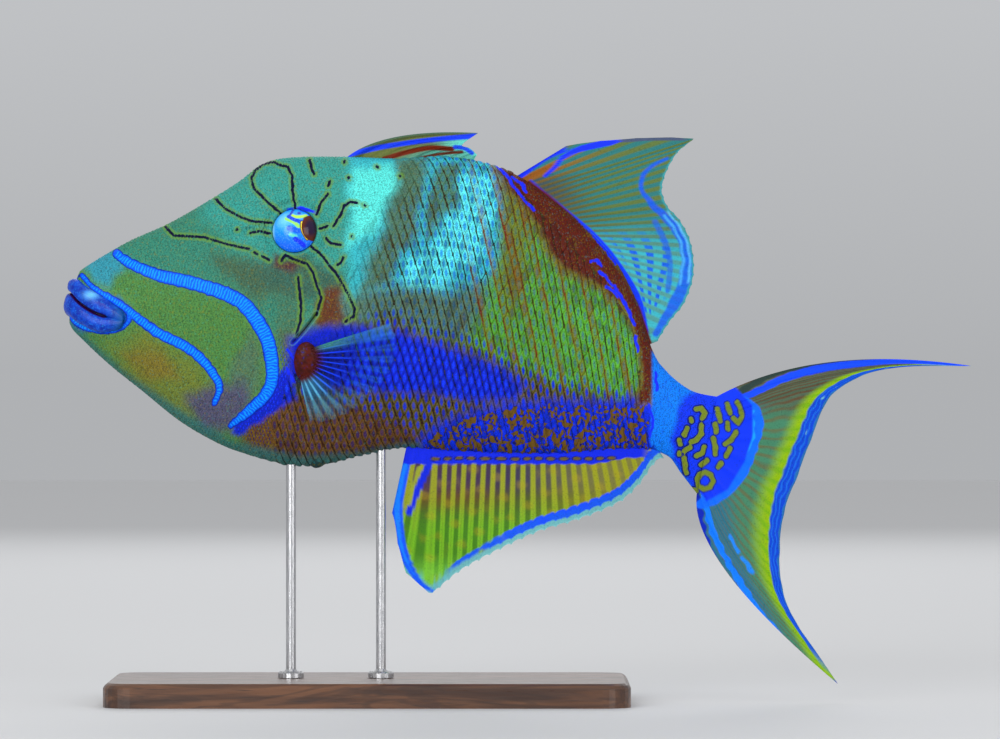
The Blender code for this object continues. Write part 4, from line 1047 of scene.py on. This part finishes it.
def addFin(name, u, rows, middle, halfThick, paintWith, material, slot, nodes, veil=None):
    # middle(u, v) and halfThick(u, v) give the fin's middle surface and half its thickness
    v = np.linspace(0, 1, rows)
    uu, vv = (grid.ravel() for grid in np.meshgrid(u, v, indexing="ij"))
    x, y, z = middle(uu, vv)
    half, ray = halfThick(uu, vv)
    left, right = np.stack([x, y - half, z], -1), np.stack([x, y + half, z], -1)
    count = len(uu)
    faces = gridFaces(len(u), rows)
    border = np.concatenate([np.arange(len(u)) * rows, (len(u) - 1) * rows + np.arange(1, rows),
                             np.arange(len(u) - 2, -1, -1) * rows + rows - 1,
                             np.arange(rows - 2, 0, -1)])
    after = np.roll(border, -1)
    rim = np.stack([border, after, after + count, border + count], 1)
    edge = np.hypot(*(np.array(middle(uu, np.ones_like(vv)))[[0, 2]] - np.array([x, z])))
    paint = paintWith(x, z, uu, vv, ray, edge)
    values = {"ray": ray, "v": vv}
    if veil:
        values["veil"] = veil(uu, vv)
    values = {key: np.tile(value, 2) for key, value in values.items()}
    turned = faces[:, ::-1]
    if np.cross(left[rows] - left[0], left[1] - left[0])[1] > 0:
        faces, turned, rim = turned, faces, rim[:, ::-1]
    piece = addMesh(name, np.concatenate([left, right]), [faces, turned + count, rim[:, ::-1]],
                    material, values, {"paint": np.concatenate([paint, paint])})
    ridesAs(piece, slot, *nodes)
    print(name, "made")


def coats(count, colour):        # a layer of paint, and a way to lay others over it
    paint = np.tile(rgb(colour), (count, 1))

    def lay(weight, tone):
        tone = tone if isinstance(tone, np.ndarray) else rgb(tone)
        paint[:] += (tone - paint) * np.clip(weight, 0, 1)[:, None]
    return paint, lay


def layStrokes(lay, x, z, start, end, strokes):
    for line, width, colour in strokes:
        lay(smoothStep(strokeField(x, z, traced(line), width)[0], start, end), colour)


def finFinish(name, veiled=False):
    f = Finish(name, IOR=1.4, Specular_IOR_Level=0.1, Coat_Weight=0.02, Coat_Roughness=0.25)
    ray = f.value("ray")
    grain = f.noise(0.8, 3)
    base = f.mix(f.times(f.step(grain, 0.5, 0.25), 0.3), f.colour("paint"), (10, 40, 48))
    joints = f.math("SINE", f.times(f.value("v"), 260.0))
    height = f.math("ADD", f.times(f.times(joints, ray), 0.4), grain)
    if veiled:
        shown = f.times(ray, f.step(f.value("v"), 0.6, 0.36))
        web = f.math("MULTIPLY_ADD", ray, 0.05, f.value("veil"))
        f.wire(Alpha=f.math("MULTIPLY_ADD", shown, 0.55, web))
    return f.wire(Base_Color=base, Roughness=f.step(grain, -0.8, 1.8), Normal=f.bump(height, 0.12, 0.6))


secondDorsal = {
    "roots": (226.0, 292.4),
    "lead": [(250.5, 278.0), (257.5, 279.5), (277.5, 281.5), (297.5, 282.5), (315.0, 282.0)],
    "trail": [(315.0, 282.0), (305.5, 273.5), (298.8, 258.0), (301.0, 248.5), (307.5, 241.0),
              (313.0, 230.0), (314.6, 214.0), (310.0, 199.5), (303.0, 190.5), (296.5, 180.5)],
    "leadShare": 0.13,
    "rays": 29,
    "wave": 3.0,
    "notch": 0.5,                # how far the web falls short of the ray tips
}
anal = {
    "roots": (170.6, 297.0),
    "lead": [(163.5, 94.5), (169.5, 66.5), (176.5, 58.0), (183.5, 53.5)],
    "trail": [(183.5, 53.5), (197.5, 65.0), (217.5, 76.0), (237.5, 85.0), (257.5, 91.0), (277.5, 99.5),
              (287.5, 108.5), (295.0, 119.0), (299.5, 121.8)],
    "leadShare": 0.12,
    "rays": 27,
    "wave": 2.5,
    "notch": 1.1,
}


def makeSoftFin(name, shape, line, paintWith, material, node):
    u = np.linspace(0, 1, (shape["rays"] - 1) * 6 + 1)

    def ends(uu):
        first, last = shape["roots"]
        root = rootOn(line, first + (last - first) * uu, 0.8)
        front = curvePoint(shape["lead"], np.clip(uu / shape["leadShare"], 0, 1))
        rear = curvePoint(shape["trail"], np.clip((uu - shape["leadShare"]) / (1 - shape["leadShare"]), 0, 1))
        isLead = uu < shape["leadShare"]
        return root, (np.where(isLead, front[0], rear[0]), np.where(isLead, front[1], rear[1]))

    def middle(uu, vv):
        (rx, rz), (tx, tz) = ends(uu)
        length = np.hypot(tx - rx, tz - rz)
        ray = rayShape(uu * (shape["rays"] - 1), vv, 0.0)
        reach = vv * (1 - shape["notch"] * (1 - ray) * vv ** 6 / np.maximum(length, 4))
        y = shape["wave"] * vv * vv * np.sin(2 * math.pi * (1.4 * uu + 0.1))
        y = y + 0.25 * vv * np.sin(uu * 90) * (1 - ray)
        return rx + (tx - rx) * reach, y, rz + (tz - rz) * reach

    def halfThick(uu, vv):
        ray = rayShape(uu * (shape["rays"] - 1), vv, 0.16)
        web = (1.15 - 0.5 * uu) * (1 - vv) ** 3 + 0.2 * (1 - (1 - vv) ** 3)
        first = smoothStep(uu, 0.02, 0.0) * 0.5 * (1 - vv * 0.7)
        return web + ray * 0.36 * (1 - 0.75 * vv) * np.minimum(vv * 8, 1) + first, ray

    addFin(name, u, 90, middle, halfThick, paintWith, material, "fins", [node])


def paintSecondDorsal(x, z, u, v, ray, edge):
    paint, lay = coats(len(x), (46, 116, 116))
    rear = smoothStep(u, 0.42, 0.7)
    wide = smoothStep(np.cos(2 * math.pi * u * (secondDorsal["rays"] - 1)), -0.35, 0.55)
    lay(rear, (60, 174, 188))
    lay(wide * (0.9 - 0.45 * rear), (94, 112, 48))
    lay(wide * smoothStep(v, 0.5, 0.05) * smoothStep(u, 0.75, 0.2) * 0.8, (96, 78, 46))
    lay(wide * smoothStep(u, 0.14, 0.04) * smoothStep(v, 0.9, 0.3) * 0.8, (150, 92, 34))
    lay((1 - wide) * smoothStep(v, 0.3, 0.05) * smoothStep(u, 0.5, 0.2) * 0.7, (70, 58, 66))
    column = np.cos(2 * math.pi * (u * (secondDorsal["rays"] - 1)) + math.pi)
    row = np.cos(v * 2 * math.pi * (5.2 + 2.0 * smoothStep(u, 0.6, 0.9)) + 1.6)
    dots = np.minimum(column, row)
    lay(smoothStep(dots, -0.05, 0.35) * smoothStep(u, 0.5, 0.66) * smoothStep(edge, 8.5, 11.5)
        * smoothStep(v, 0.1, 0.2), (26, 96, 222))
    faint = strokeField(x, z, traced([(295, 240), (299.5, 231), (302.5, 220), (301.5, 206)]), 1.2)[0]
    lay(smoothStep(faint, 0.8, -0.4) * 0.7, (30, 92, 214))
    swell = wobble(x, z, 8) * 0.5
    for line, width, colour, share in (
            ([(301.5, 272), (293.5, 268), (289, 263), (288, 257), (292, 250.5), (299.5, 243),
                (307.5, 233), (311, 222), (309.5, 209), (302.5, 195), (295.5, 184)],
             [(0, 0.5), (0.3, 1.3), (0.6, 2.6), (0.85, 2.7), (1, 1.4)], (18, 84, 226), 0.85),
            ([(299.5, 243), (306.5, 233), (309, 221), (307.5, 209)], 0.45, (74, 170, 236), 0.9),
            ([(301.5, 245), (309.5, 234), (312.5, 222), (311.5, 210)], 0.35, (96, 190, 240), 0.9)):
        field = strokeField(x + swell, z + swell * 0.6, traced(line), width)[0]
        lay(smoothStep(field, 0.9, -0.5) * share, colour)
    lay(smoothStep(edge, 1.8, 0.2) * smoothStep(u, 0.12, 0.2), (60, 152, 160))
    foot = strokeField(x, z, traced([(232.5, 261), (241.5, 253.5), (250.5, 246), (262.5, 236),
        (271, 227), (276.5, 219.5), (282, 210.5), (286.5, 200.5), (289.5, 185.5)]),
                       [(0, 0.4), (0.4, 0.6), (0.65, 1.1), (0.85, 2.0), (1, 2.2)])[0]
    lay(smoothStep(foot, 0.5, -0.4), (16, 56, 240))
    strip = areaField(x, z, redStrip)
    lay(smoothStep(strip, 0.8, -0.6) * smoothStep(v, 0.5, 0.2), markColours["red"][0])
    layStrokes(lay, x, z, 0.4, -0.3, (
        ([(224.5, 261), (231.5, 266), (240.5, 272), (249, 276.5)],
         [(0, 2.2), (0.4, 1.3), (1, 1.4)], (24, 50, 244)),
        ([(227.5, 260), (237.5, 265), (245.5, 268)], 1.3, (140, 84, 26)),
        ([(240, 263), (245.5, 268), (248.5, 272), (254.5, 275.5), (265.5, 278.5), (278.5, 281)],
         [(0, 0.7), (0.5, 1.4), (0.85, 1.5), (1, 0.5)], (24, 50, 244)),
        ([(278.5, 281), (292.5, 282), (309.5, 282)], 1.2, (72, 84, 112))))
    return paint


def paintAnal(x, z, u, v, ray, edge):
    paint, lay = coats(len(x), (112, 176, 34))
    rays = np.cos(2 * math.pi * u * (anal["rays"] - 1))
    wide = smoothStep(rays, -0.2, 0.5)
    deep = smoothStep(z, 84, 108)
    rear = smoothStep(x, 220, 280)
    lay(1 - wide, (66, 122, 26))
    lay((1 - wide) * deep * 0.85, (72, 60, 40))
    lay(smoothStep(rays, 0.8, 0.98) * 0.4, (84, 120, 30))
    lay(smoothStep(x, 232, 196) * smoothStep(z, 92, 104) * 0.45, (120, 62, 20))
    lay((1 - wide) * smoothStep(z, 100, 112) * 0.7, (52, 40, 92))
    lay(wide * deep * 0.9, (146, 150, 40))
    lay(rear * 0.55, (150, 148, 24))
    lay(smoothStep(wobble(x, z, 9), 0.1, 0.9) * 0.3, (170, 150, 30))
    lay(smoothStep(z, 76, 62) * 0.5, (124, 206, 70))
    margin = edge + wobble(x, z, 5) * 0.35 + 0.5 * np.abs(np.sin(u * 82))
    rearEdge = smoothStep(u, 0.07, 0.12)
    lay(smoothStep(margin, 7.6, 6.8) * smoothStep(x, 205, 225), (22, 76, 240))
    lay(smoothStep(margin, 6.6, 5.8) * smoothStep(x, 188, 196) * smoothStep(wobble(x, z, 11), -0.55, -0.2),
        (22, 84, 226))
    lay(smoothStep(margin, 3.4 + 2 * smoothStep(x, 225, 190), 2.6) * rearEdge, (104, 172, 176))
    lay(smoothStep(np.sin(u * 260), 0.2, 0.8) * smoothStep(edge, 9, 3) * smoothStep(x, 200, 186) * 0.6,
        (92, 186, 196))
    lay(smoothStep(margin, 1.2, 0.4) * rearEdge, (128, 188, 190))
    front = strokeField(x, z, traced([(169.5, 126), (167.5, 111), (166, 98.5), (166.5, 88.5),
        (168.5, 77), (172.5, 67), (178.5, 58.5), (184.5, 55)]),
                        [(0, 4.6), (0.25, 3.2), (0.5, 2.6), (0.8, 1.8), (1, 0.6)])[0]
    lay(smoothStep(front, 0.5, -0.4), (18, 84, 240))
    lay(smoothStep(front + wobble(x, z, 6) * 0.3, -1.0, -2.0) * 0.8, (22, 130, 252))
    layStrokes(lay, x, z, 0.4, -0.3, (
        ([(182.5, 120), (178.5, 111), (174.5, 102), (172, 95)], 1.7, (18, 40, 214)),
        ([(177, 117), (174, 107), (172, 99)], 0.9, (146, 156, 50))))
    # band and row of ovals along the fin's foot
    low = 118.9 + 3.2 * smoothStep(x, 262, 284) + 0.3 * np.sin(x * 0.9)
    lay(smoothStep(z - low, -0.3, 0.5) * smoothStep(x, 294, 288), (16, 40, 222))
    slot = np.abs(((x + 2.2 * wobble(x, 0 * z, 31)) / 6.3) % 1 - 0.5) * 6.3
    oval = np.hypot(slot / 2.3, (z - 121.7 + 0.3 * wobble(x, 0 * z, 17)) / 0.95)
    inRow = smoothStep(x, 181, 184) * smoothStep(x, 278, 274)
    lay(smoothStep(oval, 1.4, 1.1) * inRow, (10, 18, 104))
    lay(smoothStep(oval, 1.0, 0.7) * inRow, (104, 86, 34))
    return paint


firstDorsal = {
    "roots": (141.0, 204.5),
    "tips": [(206.5, 284.5), (198.5, 278.4), (202.5, 276.8), (206.0, 273.6)],
    "spines": [(0.0, 0.55), (0.035, 1.0), (0.1, 0.25), (0.3, 0.2), (0.44, 0.25), (0.5, 0.6), (0.56, 0.25),
               (0.72, 0.2), (0.8, 0.4), (0.9, 0.2), (1.0, 0.2)],
}


def makeFirstDorsal(material):
    u = np.concatenate([np.linspace(0, 0.12, 40, endpoint=False), np.linspace(0.12, 1, 130)])

    def middle(uu, vv):
        first, last = firstDorsal["roots"]
        rx, rz = rootOn(body["backLine"], first + (last - first) * uu, 0.7)
        share = np.where(uu < 0.5, np.minimum(uu * 1.2, 1), 0.6 + (uu - 0.5) * 0.8)
        tx, tz = curvePoint(firstDorsal["tips"], share)
        pullX, pullZ = rx + (tx - rx) * 0.28, rz + (tz - rz) * 0.5 + 8.6 * (1 - uu) ** 1.6
        folds = 0.35 * np.sin(uu * 70) * vv * (1 - vv) * 4 * smoothStep(uu, 0.06, 0.2)
        return (rx * (1 - vv) ** 2 + 2 * pullX * vv * (1 - vv) + tx * vv * vv, folds,
                rz * (1 - vv) ** 2 + 2 * pullZ * vv * (1 - vv) + tz * vv * vv)

    def halfThick(uu, vv):
        strength = np.interp(uu, *np.array(firstDorsal["spines"]).T)
        strength = smoothStep(strength, 0.1, 1.0)
        return 0.2 + 2.2 * strength * (1 - vv) ** 0.8 + 0.3 * strength, strength

    addFin("first_dorsal", u, 60, middle, halfThick, paintFirstDorsal, material, "fins",
           ["first_dorsal_fin"])


def paintFirstDorsal(x, z, u, v, ray, edge):
    paint, lay = coats(len(x), (104, 112, 56))
    lay(smoothStep(u, 0.25, 0.7), (88, 176, 160))
    lay(smoothStep(v, 0.6, 1.0) * smoothStep(u, 0.1, 0.3), (96, 204, 190))
    lay(smoothStep(u, 0.09, 0.0) * 0.8, (46, 92, 84))
    layStrokes(lay, x, z, 0.6, -0.3, (
        ([(159.5, 271.5), (169.5, 274.5), (182.5, 277), (193.5, 276.5)], 1.1, (110, 36, 14)),
        ([(177.5, 272), (187.5, 274), (198.5, 275)], 0.6, (92, 40, 22)),
        ([(140, 273), (153.5, 276.5), (167.5, 279), (187.5, 281.5), (205.5, 283)], 1.1, (26, 62, 236)),
        ([(195, 277.5), (199.5, 277), (203.5, 274.5)], 0.9, (34, 78, 224))))
    return paint


tail = {
    "upperTips": [(453.5, 168.0), (421.0, 167.6), (402.5, 164.5), (390.0, 158.5), (381.5, 151.0),
                  (375.0, 136.0), (366.2, 112.6)],
    "lowerTips": [(386.5, 9.0), (375.0, 26.0), (365.0, 41.0), (359.0, 56.0), (357.5, 76.0), (360.0, 96.0),
                  (365.8, 111.6)],
    "upperBend": (375.0, 179.5),
    "lowerBend": (311.5, 72.0),
    "rays": 13,                  # in all, both lobes
}


def makeTail(material):
    s = body["tailBase"] - 0.6
    top, bottom, _, half = (float(value) for value in section(s))
    u = np.linspace(0, 1, (tail["rays"] - 1) * 16 + 1)

    def middle(uu, vv):          # u runs from the upper streamer to the lower tip
        upper = uu < 0.5
        side = np.where(upper, uu * 2, 2 - uu * 2)
        rx, rz = sideView(s, top - 0.3 + (bottom + 0.6 - top) * uu)
        up, low = curvePoint(tail["upperTips"], side), curvePoint(tail["lowerTips"], side)
        tx, tz = np.where(upper, up[0], low[0]), np.where(upper, up[1], low[1])
        ray = rayShape(uu * (tail["rays"] - 1), vv, 0.0)
        ease = np.minimum(1.25 * side, 1) ** 0.7
        bx = np.where(upper, tail["upperBend"][0], tail["lowerBend"][0])
        bz = np.where(upper, tail["upperBend"][1], tail["lowerBend"][1])
        px, pz = bx + ((rx + tx) / 2 - bx) * ease, bz + ((rz + tz) / 2 - bz) * ease
        reach = vv * (1 - 0.006 * (1 - ray) * vv ** 6 * smoothStep(side, 0.1, 0.4))
        y = 0.22 * vv * np.sin(uu * 75) * smoothStep(side, 0.0, 0.2)
        return (rx * (1 - reach) ** 2 + 2 * px * reach * (1 - reach) + tx * reach ** 2, y,
                rz * (1 - reach) ** 2 + 2 * pz * reach * (1 - reach) + tz * reach ** 2)

    def halfThick(uu, vv):
        side = np.where(uu < 0.5, uu * 2, 2 - uu * 2)
        ray = rayShape(uu * (tail["rays"] - 1), vv, 0.2)
        root = half * (0.35 + 0.65 * np.minimum(3 * side, 1)) * np.sqrt(np.clip(side * 6 + 0.1, 0, 1))
        web = root * (1 - vv) ** 2.5 + 0.22 * (1 - (1 - vv) ** 2.5)
        return web + 0.4 * ray * (1 - 0.75 * vv) * np.minimum(vv * 5, 1), ray

    addFin("tail_fin", u, 150, middle, halfThick, paintTail, material, "fins",
           ["caudal_fin_upper", "caudal_fin_lower"])


def paintTail(x, z, u, v, ray, edge):
    paint, lay = coats(len(x), (66, 126, 96))
    upper = smoothStep(z, 140, 152)
    fine = np.cos(2 * math.pi * u * 36 + wobble(x, z, 12))
    lay(upper * 0.6, (84, 70, 60))
    lay(upper * smoothStep(fine, -0.2, 0.7) * 0.9, (92, 66, 44))
    lay((1 - upper) * smoothStep(fine, 0.1, 0.9) * 0.6, (94, 86, 62))
    lay((1 - upper) * smoothStep(edge, 24, 50) * 0.7, (28, 98, 140))
    lay((1 - upper) * smoothStep(fine, 0.4, 0.95) * 0.4, (104, 104, 60))
    inside = smoothStep(edge, 17 + 8 * smoothStep(z, 120, 80), 9)
    lay(inside, (136, 176, 8))
    lay(inside * smoothStep(fine, 0.0, 0.9) * 0.5, (84, 158, 24))
    ragged = edge + wobble(x, z, 6) * 0.6
    middleTail = smoothStep(u, 0.02, 0.12) * smoothStep(u, 0.995, 0.9)
    lay(smoothStep(ragged, 8.0, 6.6) * middleTail, (10, 66, 200))
    threads = smoothStep(np.sin(ragged * 2.6 + wobble(x, z, 14) * 2), 0.2, 0.9)
    lay(threads * smoothStep(ragged, 7.6, 6.4) * middleTail * 0.7, (26, 110, 220))
    lay(smoothStep(ragged, 1.6, 0.4) * middleTail, (40, 104, 160))
    pale = smoothStep(wobble(x * 1.4, z, 9), 0.5, 0.75) * smoothStep(np.abs(ragged - 3.2), 1.2, 0.4)
    lay(pale * smoothStep(z, 122, 134) * 0.8, (120, 196, 186))
    layStrokes(lay, x + wobble(x, z, 6) * 0.8, z, 0.5, -0.4, (
        ([(333.5, 152.5), (347.5, 161), (357.5, 165.5), (370, 168.5), (382.5, 170), (395, 171),
          (415, 172), (447.5, 170)], [(0, 1.8), (0.5, 1.6), (1, 0.8)], (44, 62, 58)),
        ([(334.5, 150.5), (347.5, 156), (357.5, 161), (370, 165), (382.5, 167.5), (395, 169),
          (417.5, 170.5), (451.5, 168.5)], [(0, 1.3), (0.3, 1.9), (0.7, 1.3), (1, 0.7)], (20, 72, 250)),
        ([(314.5, 105), (320, 81), (332, 57), (350, 36), (370, 17), (385.5, 9)],
         [(0, 2.2), (0.5, 2.0), (1, 1.2)], (10, 38, 176)),
        ([(319.5, 102.5), (324, 85), (333.5, 66.5), (346, 47), (361, 29.5), (376, 13.5)],
         [(0, 1.7), (0.4, 1.5), (0.8, 1.1), (1, 0.6)], (16, 120, 255)),
        ([(335.5, 152), (343.5, 147), (346, 138.5), (343, 128.5), (340, 119.5), (334.5, 110),
          (325.5, 102.5), (318.5, 99.5)], [(0, 2.6), (0.5, 3.4), (1, 2.8)], (14, 104, 255)),
        ([(343.5, 145), (342.5, 131), (336.5, 121), (327.5, 107.5), (320.5, 103)],
         [(0, 1.0), (0.5, 1.9), (1, 1.4)], (24, 156, 255)),
        ([(332.5, 83), (336.5, 75)], 0.9, (28, 128, 236)),
        ([(339, 72), (343.5, 65)], 0.9, (28, 128, 236))))
    rim, _, _, values = markings(x, z)
    root = smoothStep(areaField(x, z, tailBase), 0.4, -1.0) * smoothStep(x, 345, 343)
    lay(root, rim)
    lay(smoothStep(values["tailSpot"], 0.7, 0.3) * smoothStep(x, 345, 343), (8, 22, 120))
    lay(smoothStep(values["tailSpot"], 0.15, -0.3), (112, 128, 36))
    return paint


pectoral = {
    "at": (121.5, 170.0),
    "lobe": (6.2, 10.0),
    "lobeThick": 3.6,
    "roots": [(124.5, 177.0), (126.0, 170.0), (122.6, 163.5), (118.5, 161.5)],
    "tips": [(164.0, 189.5), (166.5, 181.0), (165.0, 170.0), (159.5, 160.0), (150.0, 150.5),
             (140.0, 143.5), (130.0, 140.2), (123.0, 140.8)],
    "rays": 13,
}


def lobeFinish():
    f = Finish("pectoralLobe", IOR=1.4, Specular_IOR_Level=0.15, Coat_Weight=0.1, Coat_Roughness=0.2)
    tone = f.noise(2.6, 3)
    base = f.mix(f.step(tone, 0.3, 0.7), (54, 8, 4), (84, 20, 8))
    base = f.mix(f.step(f.noise(1.2, 2), 0.6, 0.72), base, (40, 34, 120))
    return f.wire(Base_Color=base, Roughness=f.step(tone, -0.8, 1.8),
                  Normal=f.bump(f.noise(0.8, 3), 0.3, 0.7))


def makePectoral(word, side, webMaterial, lobeMaterial):
    u = np.linspace(0, 1, (pectoral["rays"] - 1) * 10 + 1)

    def middle(uu, vv):
        rx, rz = curvePoint(pectoral["roots"], uu)
        tx, tz = curvePoint(pectoral["tips"], uu)
        ray = rayShape(uu * (pectoral["rays"] - 1), vv, 0.0)
        reach = -0.05 + vv * (1.05 - 0.03 * (1 - ray) * vv ** 6)
        x, z = rx + (tx - rx) * reach, rz + (tz - rz) * reach
        out = 2.1 + 6.5 * vv - 2.0 * vv * vv + 0.3 * vv * ray
        return x, side * (flankAt(x, z) + out), z

    def halfThick(uu, vv):
        ray = rayShape(uu * (pectoral["rays"] - 1), vv, 0.18)
        return 0.14 + 0.4 * (1 - vv) ** 2 + ray * 0.26 * (1 - 0.7 * vv), ray

    def veil(uu, vv):            # how solid the web looks: clear towards its edge
        near = smoothStep(vv, 0.55, 0.2) * (0.35 + 0.3 * smoothStep(uu, 0.5, 0.8))
        low = 0.22 * smoothStep(uu, 0.6, 0.8) * smoothStep(vv, 1.0, 0.6)
        return 0.03 + near + 0.15 * smoothStep(uu, 0.14, 0.03) + low

    addFin("pectoral_" + word, u, 60, middle, halfThick, paintPectoral, webMaterial, "pectoral_fins",
           ["pectoral_fin_" + word], veil)
    rings, around = 26, 64
    share = np.sin(np.linspace(0.01, 1, rings) * math.pi / 2)[:, None]
    turn = np.linspace(0, 2 * math.pi, around, endpoint=False)[None, :]
    x = (pectoral["at"][0] + pectoral["lobe"][0] * share * np.cos(turn)).ravel()
    z = (pectoral["at"][1] + pectoral["lobe"][1] * share * np.sin(turn)).ravel()
    bulge = (pectoral["lobeThick"] * np.sqrt(np.clip(1 - share ** 2, 0, 1)) * np.ones_like(turn)).ravel()
    y = side * (flankAt(x, z) + bulge + 0.15 + 0.15 * wobble(x * 3, z * 3, 7))
    points = np.stack([x, y, z], -1)
    faces = gridFaces(rings, around, closed=True)
    base = np.arange(around)[None, :]
    if side < 0:
        faces, base = faces[:, ::-1], base[:, ::-1]
    lobe = addMesh("pectoral_lobe_" + word, points, [faces[:, ::-1], base], lobeMaterial)
    ridesAs(lobe, "pectoral_fins")


def paintPectoral(x, z, u, v, ray, edge):
    paint, lay = coats(len(x), (14, 20, 104))
    lay(smoothStep(u, 0.5, 0.85), (40, 96, 130))
    lay(smoothStep(u, 0.16, 0.02), (70, 150, 140))
    lay(ray * smoothStep(v, 0.7, 0.4) * smoothStep(u, 0.04, 0.15), (18, 62, 248))
    lay(ray * smoothStep(v, 0.5, 0.7), (60, 150, 232))
    lay(ray * smoothStep(u, 0.6, 0.85), (96, 180, 196))
    lay(smoothStep(v, 0.2, 0.05), (70, 18, 16))
    return paint


# Stand

def boardFinish():
    f = Finish("walnutBoard", IOR=1.45, Coat_Weight=0.35, Coat_Roughness=0.18)
    grain = f.noise(7, 5, 1.2, (0.09, 1, 1))
    pores = f.noise(0.7, 2, 0.0, (0.05, 1, 1))
    rings = f.math("SINE", f.times(f.noise(26, 3, 1.5, (0.14, 1, 1)), 42.0))
    base = f.mix(f.step(grain, 0.3, 0.72), (58, 33, 19), (104, 66, 40))
    base = f.mix(f.times(f.step(rings, 0.1, 1.0), 0.45), base, (44, 24, 14))
    base = f.mix(f.times(f.step(pores, 0.62, 0.75), 0.6), base, (26, 14, 8))
    return f.wire(Base_Color=base, Roughness=f.step(pores, -0.6, 1.9), Normal=f.bump(pores, 0.08, 0.5))


def rodFinish():
    f = Finish("steelRod", Metallic=1.0)
    lines = f.noise(0.35, 3, 0.0, (1, 1, 0.06))
    base = f.mix(f.step(lines, 0.3, 0.7), (176, 177, 180), (206, 206, 208))
    return f.wire(Base_Color=base, Roughness=f.math("MULTIPLY_ADD", lines, 0.22, 0.16),
                  Normal=f.bump(lines, 0.02, 0.4))


def dressStand():
    board, rod = boardFinish(), rodFinish()
    for name, material, slot in (("stand_base", board, "stand_board"),
                                 ("stand_rod_front", rod, "stand_rods"),
                                 ("stand_rod_rear", rod, "stand_rods")):
        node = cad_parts[name]
        node.data.materials.clear()
        node.data.materials.append(material)


# Room

studio = {
    "distance": 3.0,             # camera to the fish's middle plane, in metres
    "width": 0.5,                # what the picture takes in there
    "aim": (-0.00925, 0.16625),  # across and up
    "sensor": 36.0,
    "wall": [(0.0, (196, 198, 201)), (0.06, (214, 216, 219)), (1.0, (250, 250, 250))],   # by height
    "glow": 0.78,
    "floorHalf": 6.0,
    "lamps": [                   # place, size, watts
        ((-1.5, -2.6, 1.0), 1.6, 50.0), ((1.8, -2.4, 0.8), 1.6, 27.0), ((0.0, 2.4, 1.6), 1.8, 16.0),
        ((0.0, -0.1, 1.7), 1.2, 3.0)],
}


def makeRoom():
    camera = bpy.data.objects.new("camera", bpy.data.cameras.new("camera"))
    bpy.context.scene.collection.objects.link(camera)
    camera.location = (studio["aim"][0], -studio["distance"], studio["aim"][1])
    camera.rotation_euler = (math.pi / 2, 0, 0)
    camera.data.sensor_width = studio["sensor"]
    camera.data.lens = studio["sensor"] * studio["distance"] / studio["width"]
    camera.data.clip_start = 0.05
    bpy.context.scene.camera = camera

    half = studio["floorHalf"] * 1000
    x0 = body["length"] / 2
    points = np.array([[x0 - half, -half, 0], [x0 + half, -half, 0],
                       [x0 + half, half, 0], [x0 - half, half, 0]], float)
    f = Finish("floor", Roughness=0.7)
    f.wire(Base_Color=(*rgb((199, 200, 202)), 1))
    floor = addMesh("floor", points, [np.array([[0, 1, 2, 3]])], f.material, smooth=False)

    for number, (place, size, watts) in enumerate(studio["lamps"]):
        lamp = bpy.data.lights.new("lamp" + str(number), "AREA")
        lamp.size, lamp.energy = size, watts
        holder = bpy.data.objects.new(lamp.name, lamp)
        bpy.context.scene.collection.objects.link(holder)
        holder.location = place
        aim = Vector((0, 0, 0.15)) - Vector(place)
        holder.rotation_euler = aim.to_track_quat("-Z", "Y").to_euler()
    world = bpy.data.worlds.new("room")
    world.use_nodes = True
    nodes, links = world.node_tree.nodes, world.node_tree.links
    split = nodes.new("ShaderNodeSeparateXYZ")
    links.new(nodes.new("ShaderNodeTexCoord").outputs["Generated"], split.inputs[0])
    wall = nodes.new("ShaderNodeValToRGB")
    links.new(split.outputs["Z"], wall.inputs[0])
    (_, first), *others, (_, last) = studio["wall"]
    wall.color_ramp.elements[0].color = (*rgb(first), 1)
    wall.color_ramp.elements[1].color = (*rgb(last), 1)
    for height, colour in others:
        wall.color_ramp.elements.new(height).color = (*rgb(colour), 1)
    links.new(wall.outputs[0], nodes["Background"].inputs["Color"])
    nodes["Background"].inputs["Strength"].default_value = studio["glow"]
    bpy.context.scene.world = world
    bpy.context.scene.view_settings.view_transform = "Standard"
    print("camera and lights set")


makeRoom()
dressStand()
makeSkin(skinFinish())
makeScales(scaleFinish())
eyeMaterial, lipMaterial, finMaterial = eyeFinish(), lipFinish(), finFinish("finWeb")
makeEye("eye_left_ball", -1, eyeMaterial, "eye_left")
makeEye("eye_right_ball", 1, eyeMaterial, "eye_right")
makeLip("lip_upper", 1, lipMaterial, "upper_lip")
makeLip("lip_lower", -1, lipMaterial, "lower_lip")
makeFirstDorsal(finMaterial)
makeSoftFin("second_dorsal", secondDorsal, body["backLine"], paintSecondDorsal, finMaterial,
            "second_dorsal_fin")
makeSoftFin("anal", anal, body["bellyLine"], paintAnal, finMaterial, "anal_fin")
makeTail(finMaterial)
pectoralWeb, pectoralLobe = finFinish("pectoralWeb", True), lobeFinish()
makePectoral("left", -1, pectoralWeb, pectoralLobe)
makePectoral("right", 1, pectoralWeb, pectoralLobe)
